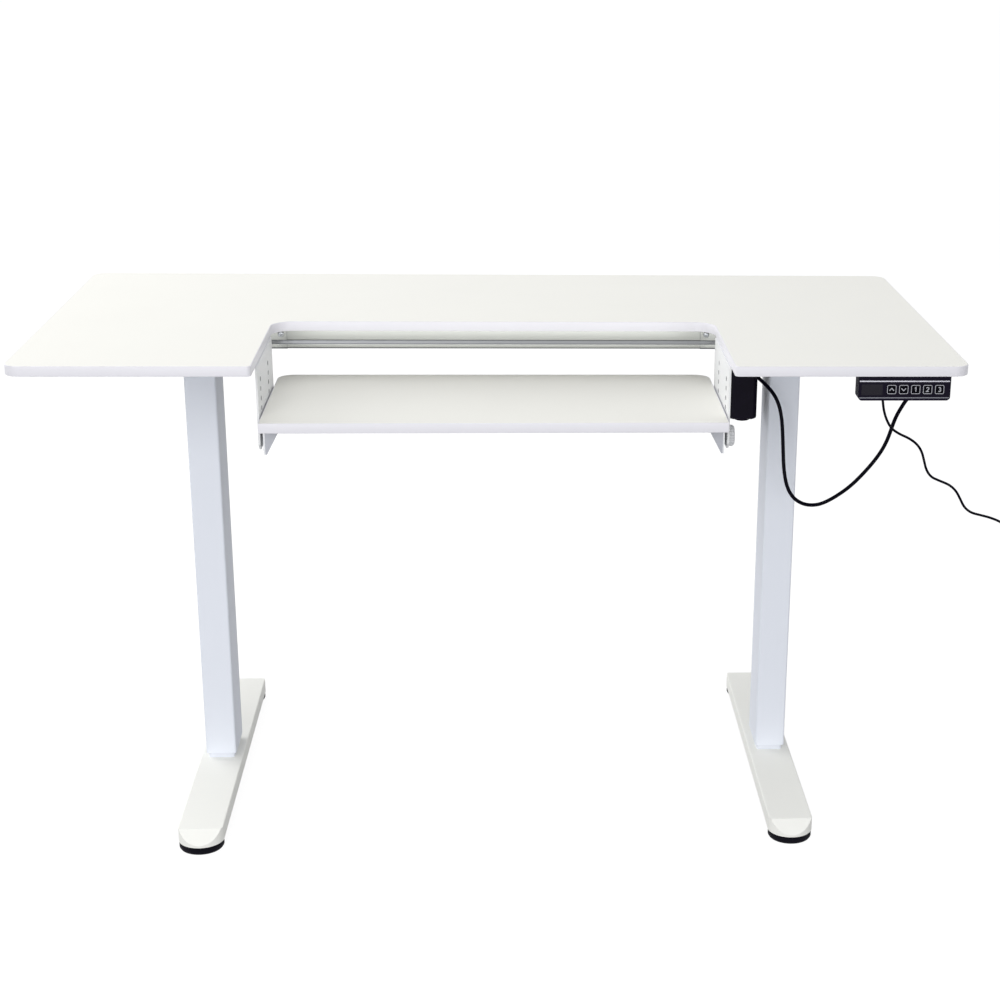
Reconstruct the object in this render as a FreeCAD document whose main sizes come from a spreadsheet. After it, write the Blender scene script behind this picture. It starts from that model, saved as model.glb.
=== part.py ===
"""Sewing table that goes up and down: a board with a U-shaped cut-out, a shelf that hangs in the cut-out, two
lifting columns on flat feet, the lifting drive, a key panel and its cable and cord.

Millimetres. The origin is on the floor under the middle of the board, +Z is up and the front faces -Y.
"""
import FreeCAD, Part
import math
import os
import Sketcher
from types import SimpleNamespace

# Driving dimensions: name, value, what it is
SIZES = (
    ("table_width", 1200, "board, left to right"),
    ("table_depth", 600, "board, front to back"),
    ("table_height", 680, "top of the board above the floor, columns down"),
    ("board_thickness", 13, "board of the top and of the shelf"),
    ("table_corner", 20, "corner radius of the board"),
    ("edge_band", 1, "thickness of the edge bands"),
    ("cutout_width", 600, "cut-out in the front edge, left to right"),
    ("cutout_depth", 260, "cut-out, front to back"),
    ("cutout_corner", 28, "inner corner radius of the cut-out"),
    ("cutout_lip", 6, "front corner radius of the cut-out"),
    ("column_inset", 46.5, "axis of a column, in from the middle of its side leaf"),
    ("column_back", 5, "axis of a column behind the middle of the table"),
    ("tube_width", 43, "outer tube, left to right"),
    ("tube_depth", 76, "outer tube, front to back"),
    ("tube_wall", 1.5, "wall of the outer tube"),
    ("tube_corner", 3, "corner radius of the outer tube"),
    ("tube_lift", 8, "gap between the foot and the outer tube, columns down"),
    ("glide_gap", 1.5, "space for the glides between the two tubes"),
    ("inner_wall", 2, "wall of the inner tube"),
    ("inner_corner", 4, "corner radius of the inner tube"),
    ("drive_room", 20.5, "room between inner tube and gearbox, columns down"),
    ("glide_height", 34, "height of a glide"),
    ("glide_play", 0.1, "play of a glide on the tube that it runs on"),
    ("glide_seat", 0.05, "room between a glide and the tube that carries it"),
    ("foot_length", 565, "foot, tip to tip"),
    ("foot_width", 61, "foot, left to right"),
    ("foot_height", 20, "height of the foot's section"),
    ("foot_wall", 2.5, "sheet of the foot"),
    ("foot_edge", 2, "round along the foot's upper long edges"),
    ("foot_nose_radius", 31, "radius of the foot's tips in plan"),
    ("foot_nose_run", 18, "length of the sloping facet at a tip"),
    ("foot_nose_lip", 3, "height of the rim left below the facet"),
    ("foot_end_block", 62, "solid end of the foot that takes a pad's stud"),
    ("pad_diameter", 60, "levelling pad"),
    ("pad_height", 9.5, "levelling pad"),
    ("pad_edge", 1.5, "rounding of the pad's rims"),
    ("pad_gap", 0.5, "gap between pad and foot"),
    ("pad_inset", 29, "axis of a pad behind the foot's tip"),
    ("pad_stud_diameter", 8, "stud of a pad"),
    ("pad_stud_length", 14, "length of stud inside the foot"),
    ("thread_play", 0.05, "play of a stud, screw or spindle in its thread"),
    ("end_plate_height", 15, "plate in the lower end of the inner tube"),
    ("end_plate_play", 0.1, "play of plates and nuts in the inner tube"),
    ("bolt_diameter", 6, "bolts between foot and column"),
    ("bolt_head", 10, "diameter of their heads"),
    ("bolt_head_height", 5, "height of their heads"),
    ("bolt_grip", 12, "length of bolt inside the end plate"),
    ("bolt_across", 18, "bolt spacing, left to right"),
    ("bolt_along", 44, "bolt spacing, front to back"),
    ("spindle_diameter", 12, "lifting spindle"),
    ("spindle_start", 70, "lower end of the spindle above the floor, columns down"),
    ("spindle_journal", 20, "length of spindle inside the gearbox"),
    ("nut_height", 36, "lifting nut"),
    ("gearbox_depth", 60, "column gearbox, front to back"),
    ("gearbox_height", 44, "column gearbox"),
    ("gearbox_play", 0.2, "play of the gearbox in the tube"),
    ("shaft_diameter", 10, "hexagon shaft across its corners"),
    ("shaft_drop", 14, "axis of the shaft below the board"),
    ("shaft_stop", 10, "end of the shaft short of the column's axis"),
    ("shaft_play", 0.3, "play of the shaft in its bores"),
    ("shaft_window", 13, "holes for the shaft in tube and bracket"),
    ("bracket_width", 62, "top bracket, left to right"),
    ("bracket_length", 400, "top bracket, front to back"),
    ("bracket_height", 22, "height of the bracket's walls"),
    ("bracket_wall", 2.5, "sheet of the top bracket"),
    ("bracket_screw_inset", 25, "outer screws from the ends of the bracket"),
    ("bracket_screw_step", 70, "inner screws from the outer ones"),
    ("rail_depth", 36, "crossbar sleeve, front to back"),
    ("rail_height", 32, "crossbar sleeve"),
    ("rail_wall", 1.5, "wall of sleeve and crossbar"),
    ("rail_round", 5, "rounding of the lower edges of the sleeve"),
    ("rail_play", 0.1, "play of the crossbar in its sleeves"),
    ("rail_sleeve", 87.5, "length of a sleeve"),
    ("rail_overlap", 38, "length of crossbar inside a sleeve"),
    ("rail_groove_drop", 17, "rolled groove of the crossbar below the board"),
    ("rail_groove_height", 2.4, "rolled groove"),
    ("rail_groove_depth", 0.8, "rolled groove"),
    ("rail_screw_inset", 8, "clamping screws from the end of a sleeve"),
    ("rail_screw_drop", 10, "clamping screws below the board"),
    ("rail_screw_diameter", 5, "clamping screws"),
    ("rail_screw_length", 6, "length of a clamping screw inside the rails"),
    ("screw_diameter", 4, "wood screws"),
    ("screw_head", 8.5, "diameter of their heads"),
    ("screw_head_height", 2.6, "height of their heads"),
    ("screw_grip", 9, "length of screw inside the board"),
    ("motor_offset", 56, "axis of the motor from the column's axis"),
    ("cover_width", 39.5, "motor cover, left to right"),
    ("cover_depth", 52, "motor cover, front to back"),
    ("cover_height", 99, "motor cover"),
    ("cover_wall", 2, "wall of the motor cover"),
    ("cover_chamfer", 5.5, "chamfer of its upright edges"),
    ("cover_round", 4.5, "rounding of its lower edges"),
    ("cover_boss", 22, "diameter of the boss under the cover"),
    ("cover_boss_round", 1.8, "round of its lower rim"),
    ("cover_boss_height", 2, "height of the boss"),
    ("cover_boss_back", 12, "axis of the boss behind the cover's front"),
    ("motor_diameter", 32, "motor can"),
    ("motor_length", 58, "motor can"),
    ("motor_gearbox_width", 28, "motor gearbox, left to right"),
    ("motor_gearbox_depth", 30, "motor gearbox, front to back"),
    ("motor_gearbox_play", 0.5, "gap round the motor gearbox in the sleeve"),
    ("gland_length", 10, "gland of the motor"),
    ("panel_gland_length", 20, "bend reliefs behind the key panel"),
    ("gland_base", 11, "diameter of a gland at the housing"),
    ("gland_tip", 7, "diameter of a gland at the cable"),
    ("gland_below_rail", 21, "motor gland below the crossbar sleeve"),
    ("gland_right", 4.5, "motor gland to the right of the motor's axis"),
    ("panel_gland_drop", 19, "bend reliefs below the board"),
    ("cable_gland_side", 25, "motor cable's bend relief from the panel's right edge"),
    ("cord_gland_side", 75, "power cord's bend relief from the panel's right edge"),
    ("plate_thickness", 2.5, "side plate"),
    ("plate_inset", 1.5, "side plate inside the edge of the cut-out"),
    ("plate_front", 50, "front edge of the side plate behind the board's"),
    ("plate_depth", 172, "side plate, front to back"),
    ("plate_drop", 109, "lower edge of the side plate below the board"),
    ("plate_flange", 28, "flange that is screwed to the board"),
    ("plate_chamfer", 8, "lower corners of the side plate"),
    ("plate_screw_inset", 22, "outer flange screws from the plate's ends"),
    ("hole_diameter", 6.4, "holes of the side plate"),
    ("hole_pitch", 12.7, "holes of the side plate"),
    ("hole_first", 22.5, "uppermost hole below the board"),
    ("hole_inset", 32, "front column of holes from the plate's edge"),
    ("hole_span", 86, "between the columns of holes"),
    ("hole_count", 7, "holes in a column, the lowest one in use"),
    ("shelf_gap", 1.5, "side gap between shelf and side plate"),
    ("shelf_depth", 258, "shelf, front to back"),
    ("shelf_front", 20, "front edge of the shelf behind the board's"),
    ("shelf_drop", 78, "top of the shelf below the top of the board"),
    ("shelf_corner", 22, "rear corner radius of the shelf"),
    ("angle_sheet", 2, "sheet of the shelf bracket"),
    ("angle_gap", 3.5, "gap between shelf bracket and side plate"),
    ("angle_flange", 20, "flange under the shelf"),
    ("angle_height", 36, "height of the shelf bracket"),
    ("gusset_tip", 2, "width of the gusset at its lower end"),
    ("slot_travel", 12.7, "height that the shelf moves on its slots"),
    ("angle_play", 0.1, "play of the bracket between spacer and nut"),
    ("angle_screw_inset", 50, "shelf screws from the bracket's ends"),
    ("stud_diameter", 6, "clamping studs and guide pins"),
    ("spacer_diameter", 12, "spacers between plate and bracket"),
    ("nut_diameter", 11, "clamping nuts and heads of the guide pins"),
    ("nut_length", 5, "clamping nuts and heads of the guide pins"),
    ("knob_diameter", 28, "clamping knob"),
    ("knob_thickness", 9.5, "clamping knob"),
    ("knob_edge", 2, "rounding of the knob's rims"),
    ("knob_gap", 0.3, "gap between knob and side plate"),
    ("panel_width", 118.5, "key panel, left to right"),
    ("panel_depth", 22, "key panel, front to back"),
    ("panel_height", 33, "key panel"),
    ("panel_wall", 2.5, "wall of the key panel"),
    ("panel_round", 5, "lower corners of the key panel"),
    ("panel_front", 8, "face of the key panel behind the board's front edge"),
    ("panel_side", 23, "key panel from the board's right edge"),
    ("panel_tab", 12, "rear tab of the key panel"),
    ("panel_tab_width", 90, "rear tab of the key panel, left to right"),
    ("panel_tab_height", 2.5, "rear tab of the key panel"),
    ("panel_screw_spread", 60, "spacing of the panel's screws"),
    ("face_left", 1, "face from the panel's left edge"),
    ("face_right", 1.5, "face from the panel's right edge"),
    ("face_top", 7, "top of the face below the board"),
    ("face_height", 23, "face with its trim strips"),
    ("face_recess", 1.2, "depth of the recess for the face"),
    ("face_thickness", 0.9, "face plate"),
    ("trim_upper", 2.4, "height of the upper trim strip"),
    ("trim_lower", 1.4, "height of the lower trim strip"),
    ("trim_proud", 0.3, "trim strips ahead of the panel"),
    ("window_left", 3, "display from the left end of the face"),
    ("window_width", 27, "display"),
    ("window_height", 14, "display"),
    ("key_size", 12.6, "keys"),
    ("key_pitch", 15.4, "keys"),
    ("key_last", 14.3, "last key from the panel's right edge"),
    ("key_drop", 18.5, "middle of the keys below the board"),
    ("key_corner", 2.5, "corner radius of the keys"),
    ("key_play", 0.2, "gap round a key"),
    ("key_length", 5.2, "keys, front to back"),
    ("key_proud", 0.2, "keys ahead of the panel"),
    ("key_gap", 1, "gap behind a key, more than its travel"),
    ("switch_size", 6, "switch behind a key"),
    ("switch_height", 1.2, "switch behind a key"),
    ("key_board_thickness", 1.6, "circuit board of the keys"),
    ("key_board_margin", 4, "circuit board from the panel's sides"),
    ("motor_cable_diameter", 5.2, "motor cable"),
    ("power_cord_diameter", 3.4, "power cord"),
    ("coil_side", 180, "middle of the coil beyond the board's right edge"),
    ("coil_back", 207, "middle of the coil behind the board's front edge"),
    ("coil_radius", 27, "outer turn of the coil, at the cord's middle"),
    ("coil_gap", 1.2, "gap between turns and between layers"),
    ("coil_turns", 3, "turns in each of the two layers"),
    ("tie_width", 9, "tie round the coil"),
    ("tie_thickness", 0.6, "tie round the coil"),
    ("tie_room", 0.2, "space under the tie and between tie and cord"),
    ("plug_length", 34, "body of the plug"),
    ("plug_width", 24, "body of the plug"),
    ("plug_height", 13.8, "body of the plug"),
    ("plug_round", 4, "edges of the plug"),
    ("plug_sleeve", 22, "bend relief of the plug"),
    ("plug_sleeve_base", 9, "bend relief at the plug"),
    ("plug_sleeve_tip", 5, "bend relief at the cord"),
    ("pin_diameter", 4.8, "plug pins"),
    ("pin_length", 19, "plug pins"),
    ("pin_spacing", 14, "plug pins"),
)

# Routes of the cable and the cord, chosen by hand; their ends move with what they meet
MOTOR_CABLE_ROUTE = (
    (352, -31, 614), (352, -42, 614), (353.3, -51, 613), (357.5, -57.5, 610), (364, -61.5, 605),
    (371.5, -66, 598.7), (379, -71.2, 591.5), (385.5, -75.2, 582.3), (390.3, -77.6, 571),
    (393.3, -78.8, 558.5), (395.2, -79.7, 545), (396.3, -80.6, 530), (397.5, -82, 510),
    (399, -85, 483), (403, -90.5, 459.5), (411.5, -98, 444.5), (424, -107, 438.3), (436, -116, 439),
    (448, -127, 444.8), (463.5, -141, 459), (481, -153, 477.5), (494.5, -166, 498.5), (506, -178.5, 519.5),
    (514.5, -188.5, 538.5), (520, -196, 556.5), (523, -202, 573.5), (526.5, -207, 589.5), (532, -210.5, 603),
    (538, -213.3, 615), (544.5, -216.5, 625), (549, -221.5, 635.5), (551.5, -229.5, 644.5),
    (552, -239.5, 648), (552, -250, 648),
)
POWER_CORD_ROUTE = (
    (502, -250, 648), (502, -237.6, 648), (502.1, -231.4, 645.4), (502.3, -226.6, 640.6),
    (502.7, -224, 634.4), (503.2, -223.8, 626), (504.5, -223.6, 616), (506.5, -223.5, 603.5),
    (510.5, -223.4, 591.5), (517.5, -223.3, 579), (529, -223.2, 571), (542, -223, 565.5),
    (553.5, -222.9, 557.5), (561, -222.8, 547), (565, -222.7, 533.5), (568.5, -222.6, 521.5),
    (575.5, -222.5, 511.5), (588, -222.4, 506), (601.5, -222.3, 500.5), (611, -222.2, 492),
    (617.5, -222.1, 480.5), (623.5, -221.9, 469), (633.5, -221.8, 461), (647.5, -221.7, 457.5),
    (660.5, -221.6, 454), (674, -221.5, 448.5), (688, -219.5, 439), (701, -216.5, 424), (711, -213, 403),
    (718.5, -209, 377), (724, -205, 342), (729.5, -199.5, 296), (733.5, -193.5, 246),
    (736.5, -187.5, 196), (741, -181, 147), (748, -173, 104), (758, -163.5, 67), (770.5, -152.5, 37),
    (784.5, -140, 16.5), (796.5, -126.5, 6), (804.5, -113.5, 2.9), (807, -106.6, 2.7), (807, -96.4, 2.7),
)

SIDES = (("left", -1), ("right", 1))
ENDS = (("front", -1), ("rear", 1))
KEYS = ("key_up", "key_down", "key_one", "key_two", "key_three")

document = FreeCAD.newDocument("SewingTable")
sheet = document.addObject("Spreadsheet::Sheet", "Sizes")
nodes = {}


class Size:
    """A length of the sheet, or a sum of such lengths, as a number and as an expression."""

    def __init__(self, value, text):
        self.value = value
        self.text = text

    def __add__(self, other):
        other = as_size(other)
        return Size(self.value + other.value, f"({self.text} + {other.text})")

    def __sub__(self, other):
        other = as_size(other)
        return Size(self.value - other.value, f"({self.text} - {other.text})")

    def __mul__(self, factor):
        factor = as_size(factor)
        return Size(self.value * factor.value, f"({self.text} * {factor.text})")

    def __truediv__(self, divisor):
        return Size(self.value / divisor, f"({self.text} / {divisor})")

    def __radd__(self, other):
        return as_size(other) + self

    def __rsub__(self, other):
        return as_size(other) - self

    def __rmul__(self, factor):
        return self * factor

    def __neg__(self):
        return self * -1


def as_size(value):
    """A plain number as a Size."""
    if isinstance(value, Size):
        return value
    return Size(float(value), f"({value})")


def fill_sheet():
    """Write the driving dimensions into the sheet and return them by name."""
    by_name = {}
    for row, (alias, value, note) in enumerate(SIZES, start=1):
        sheet.set(f"A{row}", note)
        sheet.set(f"B{row}", str(value))
        sheet.setAlias(f"B{row}", alias)
        by_name[alias] = Size(float(value), f"Sizes.{alias}")
    document.recompute()
    return SimpleNamespace(**by_name)


s = fill_sheet()

# Levels above the floor
foot_bottom = s.pad_height + s.pad_gap
foot_top = foot_bottom + s.foot_height
tube_bottom = foot_top + s.tube_lift
underside = s.table_height - s.board_thickness
tube_top = underside - s.bracket_wall
gearbox_bottom = tube_top - s.gearbox_height
inner_top = gearbox_bottom - s.drive_room
inner_length = inner_top - foot_top
shaft_level = underside - s.shaft_drop
rail_bottom = underside - s.rail_height
shelf_top = s.table_height - s.shelf_drop
shelf_bottom = shelf_top - s.board_thickness
stud_level = underside - s.hole_first - (s.hole_count - 1) * s.hole_pitch

# Section of the tubes
cavity_width = s.tube_width - 2 * s.tube_wall
cavity_depth = s.tube_depth - 2 * s.tube_wall
cavity_corner = s.tube_corner - s.tube_wall
inner_width = cavity_width - 2 * s.glide_gap
inner_depth = cavity_depth - 2 * s.glide_gap
core_width = inner_width - 2 * s.inner_wall
core_depth = inner_depth - 2 * s.inner_wall
core_corner = s.inner_corner - s.inner_wall

# Places across the table
board_front = s.table_depth / -2
column_offset = (s.table_width + s.cutout_width) / 4 - s.column_inset
sleeve_end = column_offset - s.bracket_width / 2
rail_reach = sleeve_end - s.rail_sleeve
plate_inside = s.cutout_width / 2 - s.plate_inset
plate_outside = plate_inside + s.plate_thickness
plate_start = board_front + s.plate_front
plate_end = plate_start + s.plate_depth
hole_front = plate_start + s.hole_inset
hole_columns = (hole_front, hole_front + s.hole_span)
angle_outside = plate_inside - s.angle_gap
angle_inside = angle_outside - s.angle_sheet
shelf_half = plate_inside - s.shelf_gap
shelf_middle = board_front + s.shelf_front + s.shelf_depth / 2
motor_x = column_offset - s.motor_offset
cover_front = s.column_back - s.cover_depth / 2
gland_x = motor_x + s.gland_right
gland_level = rail_bottom - s.gland_below_rail
panel_right = s.table_width / 2 - s.panel_side
panel_left = panel_right - s.panel_width
panel_middle = panel_right - s.panel_width / 2
panel_face = board_front + s.panel_front
panel_bottom = underside - s.panel_height
face_end = panel_right - s.face_right
face_start = panel_left + s.face_left
face_top = underside - s.face_top
face_bottom = face_top - s.face_height
cable_gland_x = panel_right - s.cable_gland_side
cord_gland_x = panel_right - s.cord_gland_side
panel_gland_y = panel_face + s.panel_depth
panel_gland_level = underside - s.panel_gland_drop

# The coil's middle and turns, and the level of its lower layer
coil_x = s.table_width / 2 + s.coil_side
coil_y = board_front + s.coil_back
coil_pitch = s.power_cord_diameter + s.coil_gap
coil_level = 2 * s.tie_room + s.tie_thickness + s.power_cord_diameter / 2

# Ways that a rod can point
TURNS = {
    "up": FreeCAD.Rotation(),
    "right": FreeCAD.Rotation(FreeCAD.Vector(0, 1, 0), 90),
    "left": FreeCAD.Rotation(FreeCAD.Vector(0, 1, 0), -90),
    "back": FreeCAD.Rotation(FreeCAD.Vector(1, 0, 0), -90),
    "forward": FreeCAD.Rotation(FreeCAD.Vector(1, 0, 0), 90),
    "down": FreeCAD.Rotation(FreeCAD.Vector(1, 0, 0), 180),
    "about": FreeCAD.Rotation(FreeCAD.Vector(0, 0, 1), 180),
}


def bind(thing, **properties):
    """Bind properties of a document object to sizes."""
    for name, size in properties.items():
        thing.setExpression(name, as_size(size).text)


def place(thing, spot, turn="up"):
    """Put a document object at a spot given in sizes."""
    thing.Placement.Rotation = TURNS[turn]
    for axis, size in zip("xyz", spot):
        thing.setExpression(f"Placement.Base.{axis}", as_size(size).text)
    return thing


def block(lengths, middle_x, middle_y, bottom):
    """A box, middled on X and Y and standing on its bottom."""
    lengths = [as_size(length) for length in lengths]
    thing = document.addObject("Part::Box", "Block")
    bind(thing, Length=lengths[0], Width=lengths[1], Height=lengths[2])
    return place(thing, (middle_x - lengths[0] / 2, middle_y - lengths[1] / 2, bottom))


def rod(diameter, length, start, turn="up"):
    """A cylinder from its start along one of the TURNS."""
    thing = document.addObject("Part::Cylinder", "Rod")
    bind(thing, Radius=diameter / 2, Height=length)
    return place(thing, start, turn)


def cone(base, tip, length, start, turn):
    """A cone from its base along one of the TURNS."""
    thing = document.addObject("Part::Cone", "Cone")
    bind(thing, Radius1=base / 2, Radius2=tip / 2, Height=length)
    return place(thing, start, turn)


def compound(pieces):
    """Separate solids in one object."""
    thing = document.addObject("Part::Compound", "Set")
    thing.Links = list(pieces)
    return thing


def fuse(*pieces):
    """One solid from pieces that meet."""
    thing = document.addObject("Part::MultiFuse", "Joined")
    thing.Shapes = list(pieces)
    thing.Refine = True
    return thing


def cut(base, *tools):
    """A solid less its tools, which may meet each other."""
    for tool in tools:
        thing = document.addObject("Part::Cut", "Cut")
        thing.Base = base
        thing.Tool = tool
        base = thing
    return base


def common(first, second):
    """What two solids share."""
    thing = document.addObject("Part::Common", "Shared")
    thing.Base = first
    thing.Tool = second
    return thing


def soften(kind, base, radii_for):
    """A fillet or chamfer: radii_for gives an edge's size, or None where it stays sharp."""
    document.recompute()
    edges = []
    for number, edge in enumerate(base.Shape.Edges, start=1):
        size = radii_for(edge)
        if size is not None:
            edges.append((number, size.value, size.value))
    thing = document.addObject(f"Part::{kind}", kind)
    thing.Base = base
    thing.Edges = edges
    return thing


def runs_along(edge, axis):
    """Whether a straight edge lies along X, Y or Z."""
    if len(edge.Vertexes) != 2:
        return False
    step = edge.Vertexes[1].Point - edge.Vertexes[0].Point
    return abs(abs(getattr(step, axis)) - step.Length) < 1e-6


def rounded_block(lengths, middle_x, middle_y, bottom, radius, axis="z"):
    """A box with its edges along one axis rounded."""
    plain = block(lengths, middle_x, middle_y, bottom)
    return soften("Fillet", plain, lambda edge: radius if runs_along(edge, axis) else None)


def node(label, thing):
    """Name a finished sub-part."""
    thing.Label = label
    nodes[label] = thing
    return thing


def turned(label, profile, spot, turn):
    """A turned piece: a closed profile of (radius, height) points, revolved about its own Z axis."""
    body = document.addObject("PartDesign::Body", "Turned")
    plane = next(item for item in body.Origin.OriginFeatures if item.Role == "XZ_Plane")
    sketch = body.newObject("Sketcher::SketchObject", "Profile")
    sketch.AttachmentSupport = (plane, [""])
    sketch.MapMode = "FlatFace"
    points = [(as_size(radius), as_size(height)) for radius, height in profile]
    corners = [FreeCAD.Vector(radius.value, height.value, 0) for radius, height in points]
    count = len(corners)
    for index in range(count):
        sketch.addGeometry(Part.LineSegment(corners[index], corners[(index + 1) % count]), False)
    for index in range(count):
        sketch.addConstraint(Sketcher.Constraint("Coincident", index, 2, (index + 1) % count, 1))
    for index, (radius, height) in enumerate(points):
        for kind, size in (("DistanceX", radius), ("DistanceY", height)):
            number = sketch.addConstraint(Sketcher.Constraint(kind, -1, 1, index, 1, size.value))
            sketch.setExpression(f"Constraints[{number}]", size.text)
    revolution = body.newObject("PartDesign::Revolution", "Revolution")
    revolution.Profile = sketch
    revolution.ReferenceAxis = (sketch, ["V_Axis"])
    revolution.Angle = 360
    place(body, spot, turn)
    return node(label, body)


def screw(diameter, head, head_height, grip, spot, turn):
    """A screw whose head's seat is at the spot and whose shank goes on along the turn."""
    back = {"up": (0, 0, -1), "back": (0, -1, 0), "forward": (0, 1, 0)}[turn]
    start = [as_size(at) + way * head_height for at, way in zip(spot, back)]
    return fuse(rod(head, head_height, start, turn), rod(diameter, grip, spot, turn))


def wood_screw(spot, sheet_thickness):
    """A screw driven upwards through a sheet into a board."""
    grip = s.screw_grip + sheet_thickness
    return screw(s.screw_diameter, s.screw_head, s.screw_head_height, grip, spot, "up")


def screw_holes(spots, bottom, depth):
    """Holes for upright screws."""
    return [rod(s.screw_diameter + 2 * s.thread_play, depth, (x, y, bottom), "up") for x, y, seat in spots]


# Screw places, each with the level of the head's seat
def bracket_screw_spots(sign):
    outer = s.bracket_length / 2 - s.bracket_screw_inset
    inner = outer - s.bracket_screw_step
    return [(sign * column_offset, s.column_back + way * reach, tube_top)
            for reach in (outer, inner) for way in (-1, 1)]


def plate_screw_spots(sign):
    x = sign * (plate_outside + s.plate_flange / 2)
    middle = (plate_start + plate_end) / 2
    places = (plate_start + s.plate_screw_inset, middle, plate_end - s.plate_screw_inset)
    return [(x, y, underside - s.plate_thickness) for y in places]


def panel_screw_spots():
    y = panel_face + s.panel_depth + s.panel_tab / 2
    seat = underside - s.panel_tab_height
    return [(panel_middle + way * s.panel_screw_spread / 2, y, seat) for way in (-1, 1)]


def shelf_screw_spots(sign):
    x = sign * (angle_inside - s.angle_flange / 2)
    places = (plate_start + s.angle_screw_inset, plate_end - s.angle_screw_inset)
    return [(x, y, shelf_bottom - s.angle_sheet) for y in places]


def nose_slope(x, way):
    """The wedge that is cut off a foot's tip."""
    wedge = document.addObject("Part::Wedge", "Slope")
    bind(wedge, Xmin=-s.foot_width, Xmax=s.foot_width, X2min=-s.foot_width, X2max=s.foot_width)
    bind(wedge, Ymin=0, Ymax=s.foot_nose_run)
    bind(wedge, Zmin=s.foot_height, Zmax=2 * s.foot_height, Z2min=s.foot_nose_lip, Z2max=2 * s.foot_height)
    crease = s.column_back + way * (s.foot_length / 2 - s.foot_nose_run)
    return place(wedge, (x, crease, foot_bottom), "up" if way > 0 else "about")


def pad_spots(x):
    reach = s.foot_length / 2 - s.pad_inset
    return {end: (x, s.column_back + way * reach) for end, way in ENDS}


def bolt_spots(x):
    return [(x + across * s.bolt_across / 2, s.column_back + along * s.bolt_along / 2)
            for across in (-1, 1) for along in (-1, 1)]


def foot(side, sign):
    """A foot of bent sheet with solid ends, sloping at both tips."""
    x = sign * column_offset
    straight = s.foot_length / 2 - s.foot_nose_radius
    middle = block((2 * s.foot_nose_radius, 2 * straight, s.foot_height), x, s.column_back, foot_bottom)
    tips = [rod(2 * s.foot_nose_radius, s.foot_height, (x, s.column_back + way * straight, foot_bottom))
            for end, way in ENDS]
    plain = block((s.foot_width, s.foot_length, s.foot_height), x, s.column_back, foot_bottom)

    def upper_edge(edge):
        upper = edge.CenterOfMass.z > (foot_bottom + s.foot_height / 2).value
        return s.foot_edge if upper and runs_along(edge, "y") else None

    plan = common(fuse(middle, *tips), soften("Fillet", plain, upper_edge))
    slopes = [nose_slope(x, way) for end, way in ENDS]
    hollow = block((s.foot_width - 2 * s.foot_wall, s.foot_length - 2 * s.foot_end_block,
                    s.foot_height - s.foot_wall), x, s.column_back, foot_bottom)
    stud_bore = s.pad_stud_diameter + 2 * s.thread_play
    bores = [rod(stud_bore, s.pad_stud_length, (px, py, foot_bottom)) for px, py in pad_spots(x).values()]
    holes = [rod(s.bolt_diameter + 2 * s.thread_play, s.foot_wall, (bx, by, foot_top - s.foot_wall))
             for bx, by in bolt_spots(x)]
    node(f"foot_{side}", cut(plan, *slopes, hollow, compound(bores + holes)))


def pads(side, sign):
    """Levelling pads with their studs."""
    radius = s.pad_diameter / 2
    stud = s.pad_stud_diameter / 2
    top = s.pad_height + s.pad_stud_length
    profile = ((0, 0), (radius - s.pad_edge, 0), (radius, s.pad_edge), (radius, s.pad_height - s.pad_edge),
               (radius - s.pad_edge, s.pad_height), (stud, s.pad_height), (stud, top), (0, top))
    for end, (x, y) in pad_spots(sign * column_offset).items():
        turned(f"pad_{end}_{side}", profile, (x, y, 0), "up")


def tube(label, width, depth, corner, wall, x, bottom, height, windows=()):
    """A rounded rectangular tube."""
    outside = rounded_block((width, depth, height), x, s.column_back, bottom, corner)
    inside = rounded_block((width - 2 * wall, depth - 2 * wall, height), x, s.column_back, bottom,
                           corner - wall)
    node(label, cut(outside, inside, *windows))


def ring(outer_play, inner_play, x, bottom):
    """A glide: a rounded rectangular ring between the two tubes."""
    outside = rounded_block((cavity_width - 2 * outer_play, cavity_depth - 2 * outer_play, s.glide_height), x,
                            s.column_back, bottom, cavity_corner)
    inside = rounded_block((inner_width + 2 * inner_play, inner_depth + 2 * inner_play, s.glide_height), x,
                           s.column_back, bottom, s.inner_corner)
    return cut(outside, inside)


def shaft_rod(diameter, start, end):
    """A cylinder on the axis of the cross shaft."""
    return rod(diameter, end - start, (start, s.column_back, shaft_level), "right")


def shaft_window(x, sign, reach):
    """The hole for the cross shaft in the inner side of a column or bracket."""
    return shaft_rod(s.shaft_window, x, x + reach) if sign < 0 else shaft_rod(s.shaft_window, x - reach, x)


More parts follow.
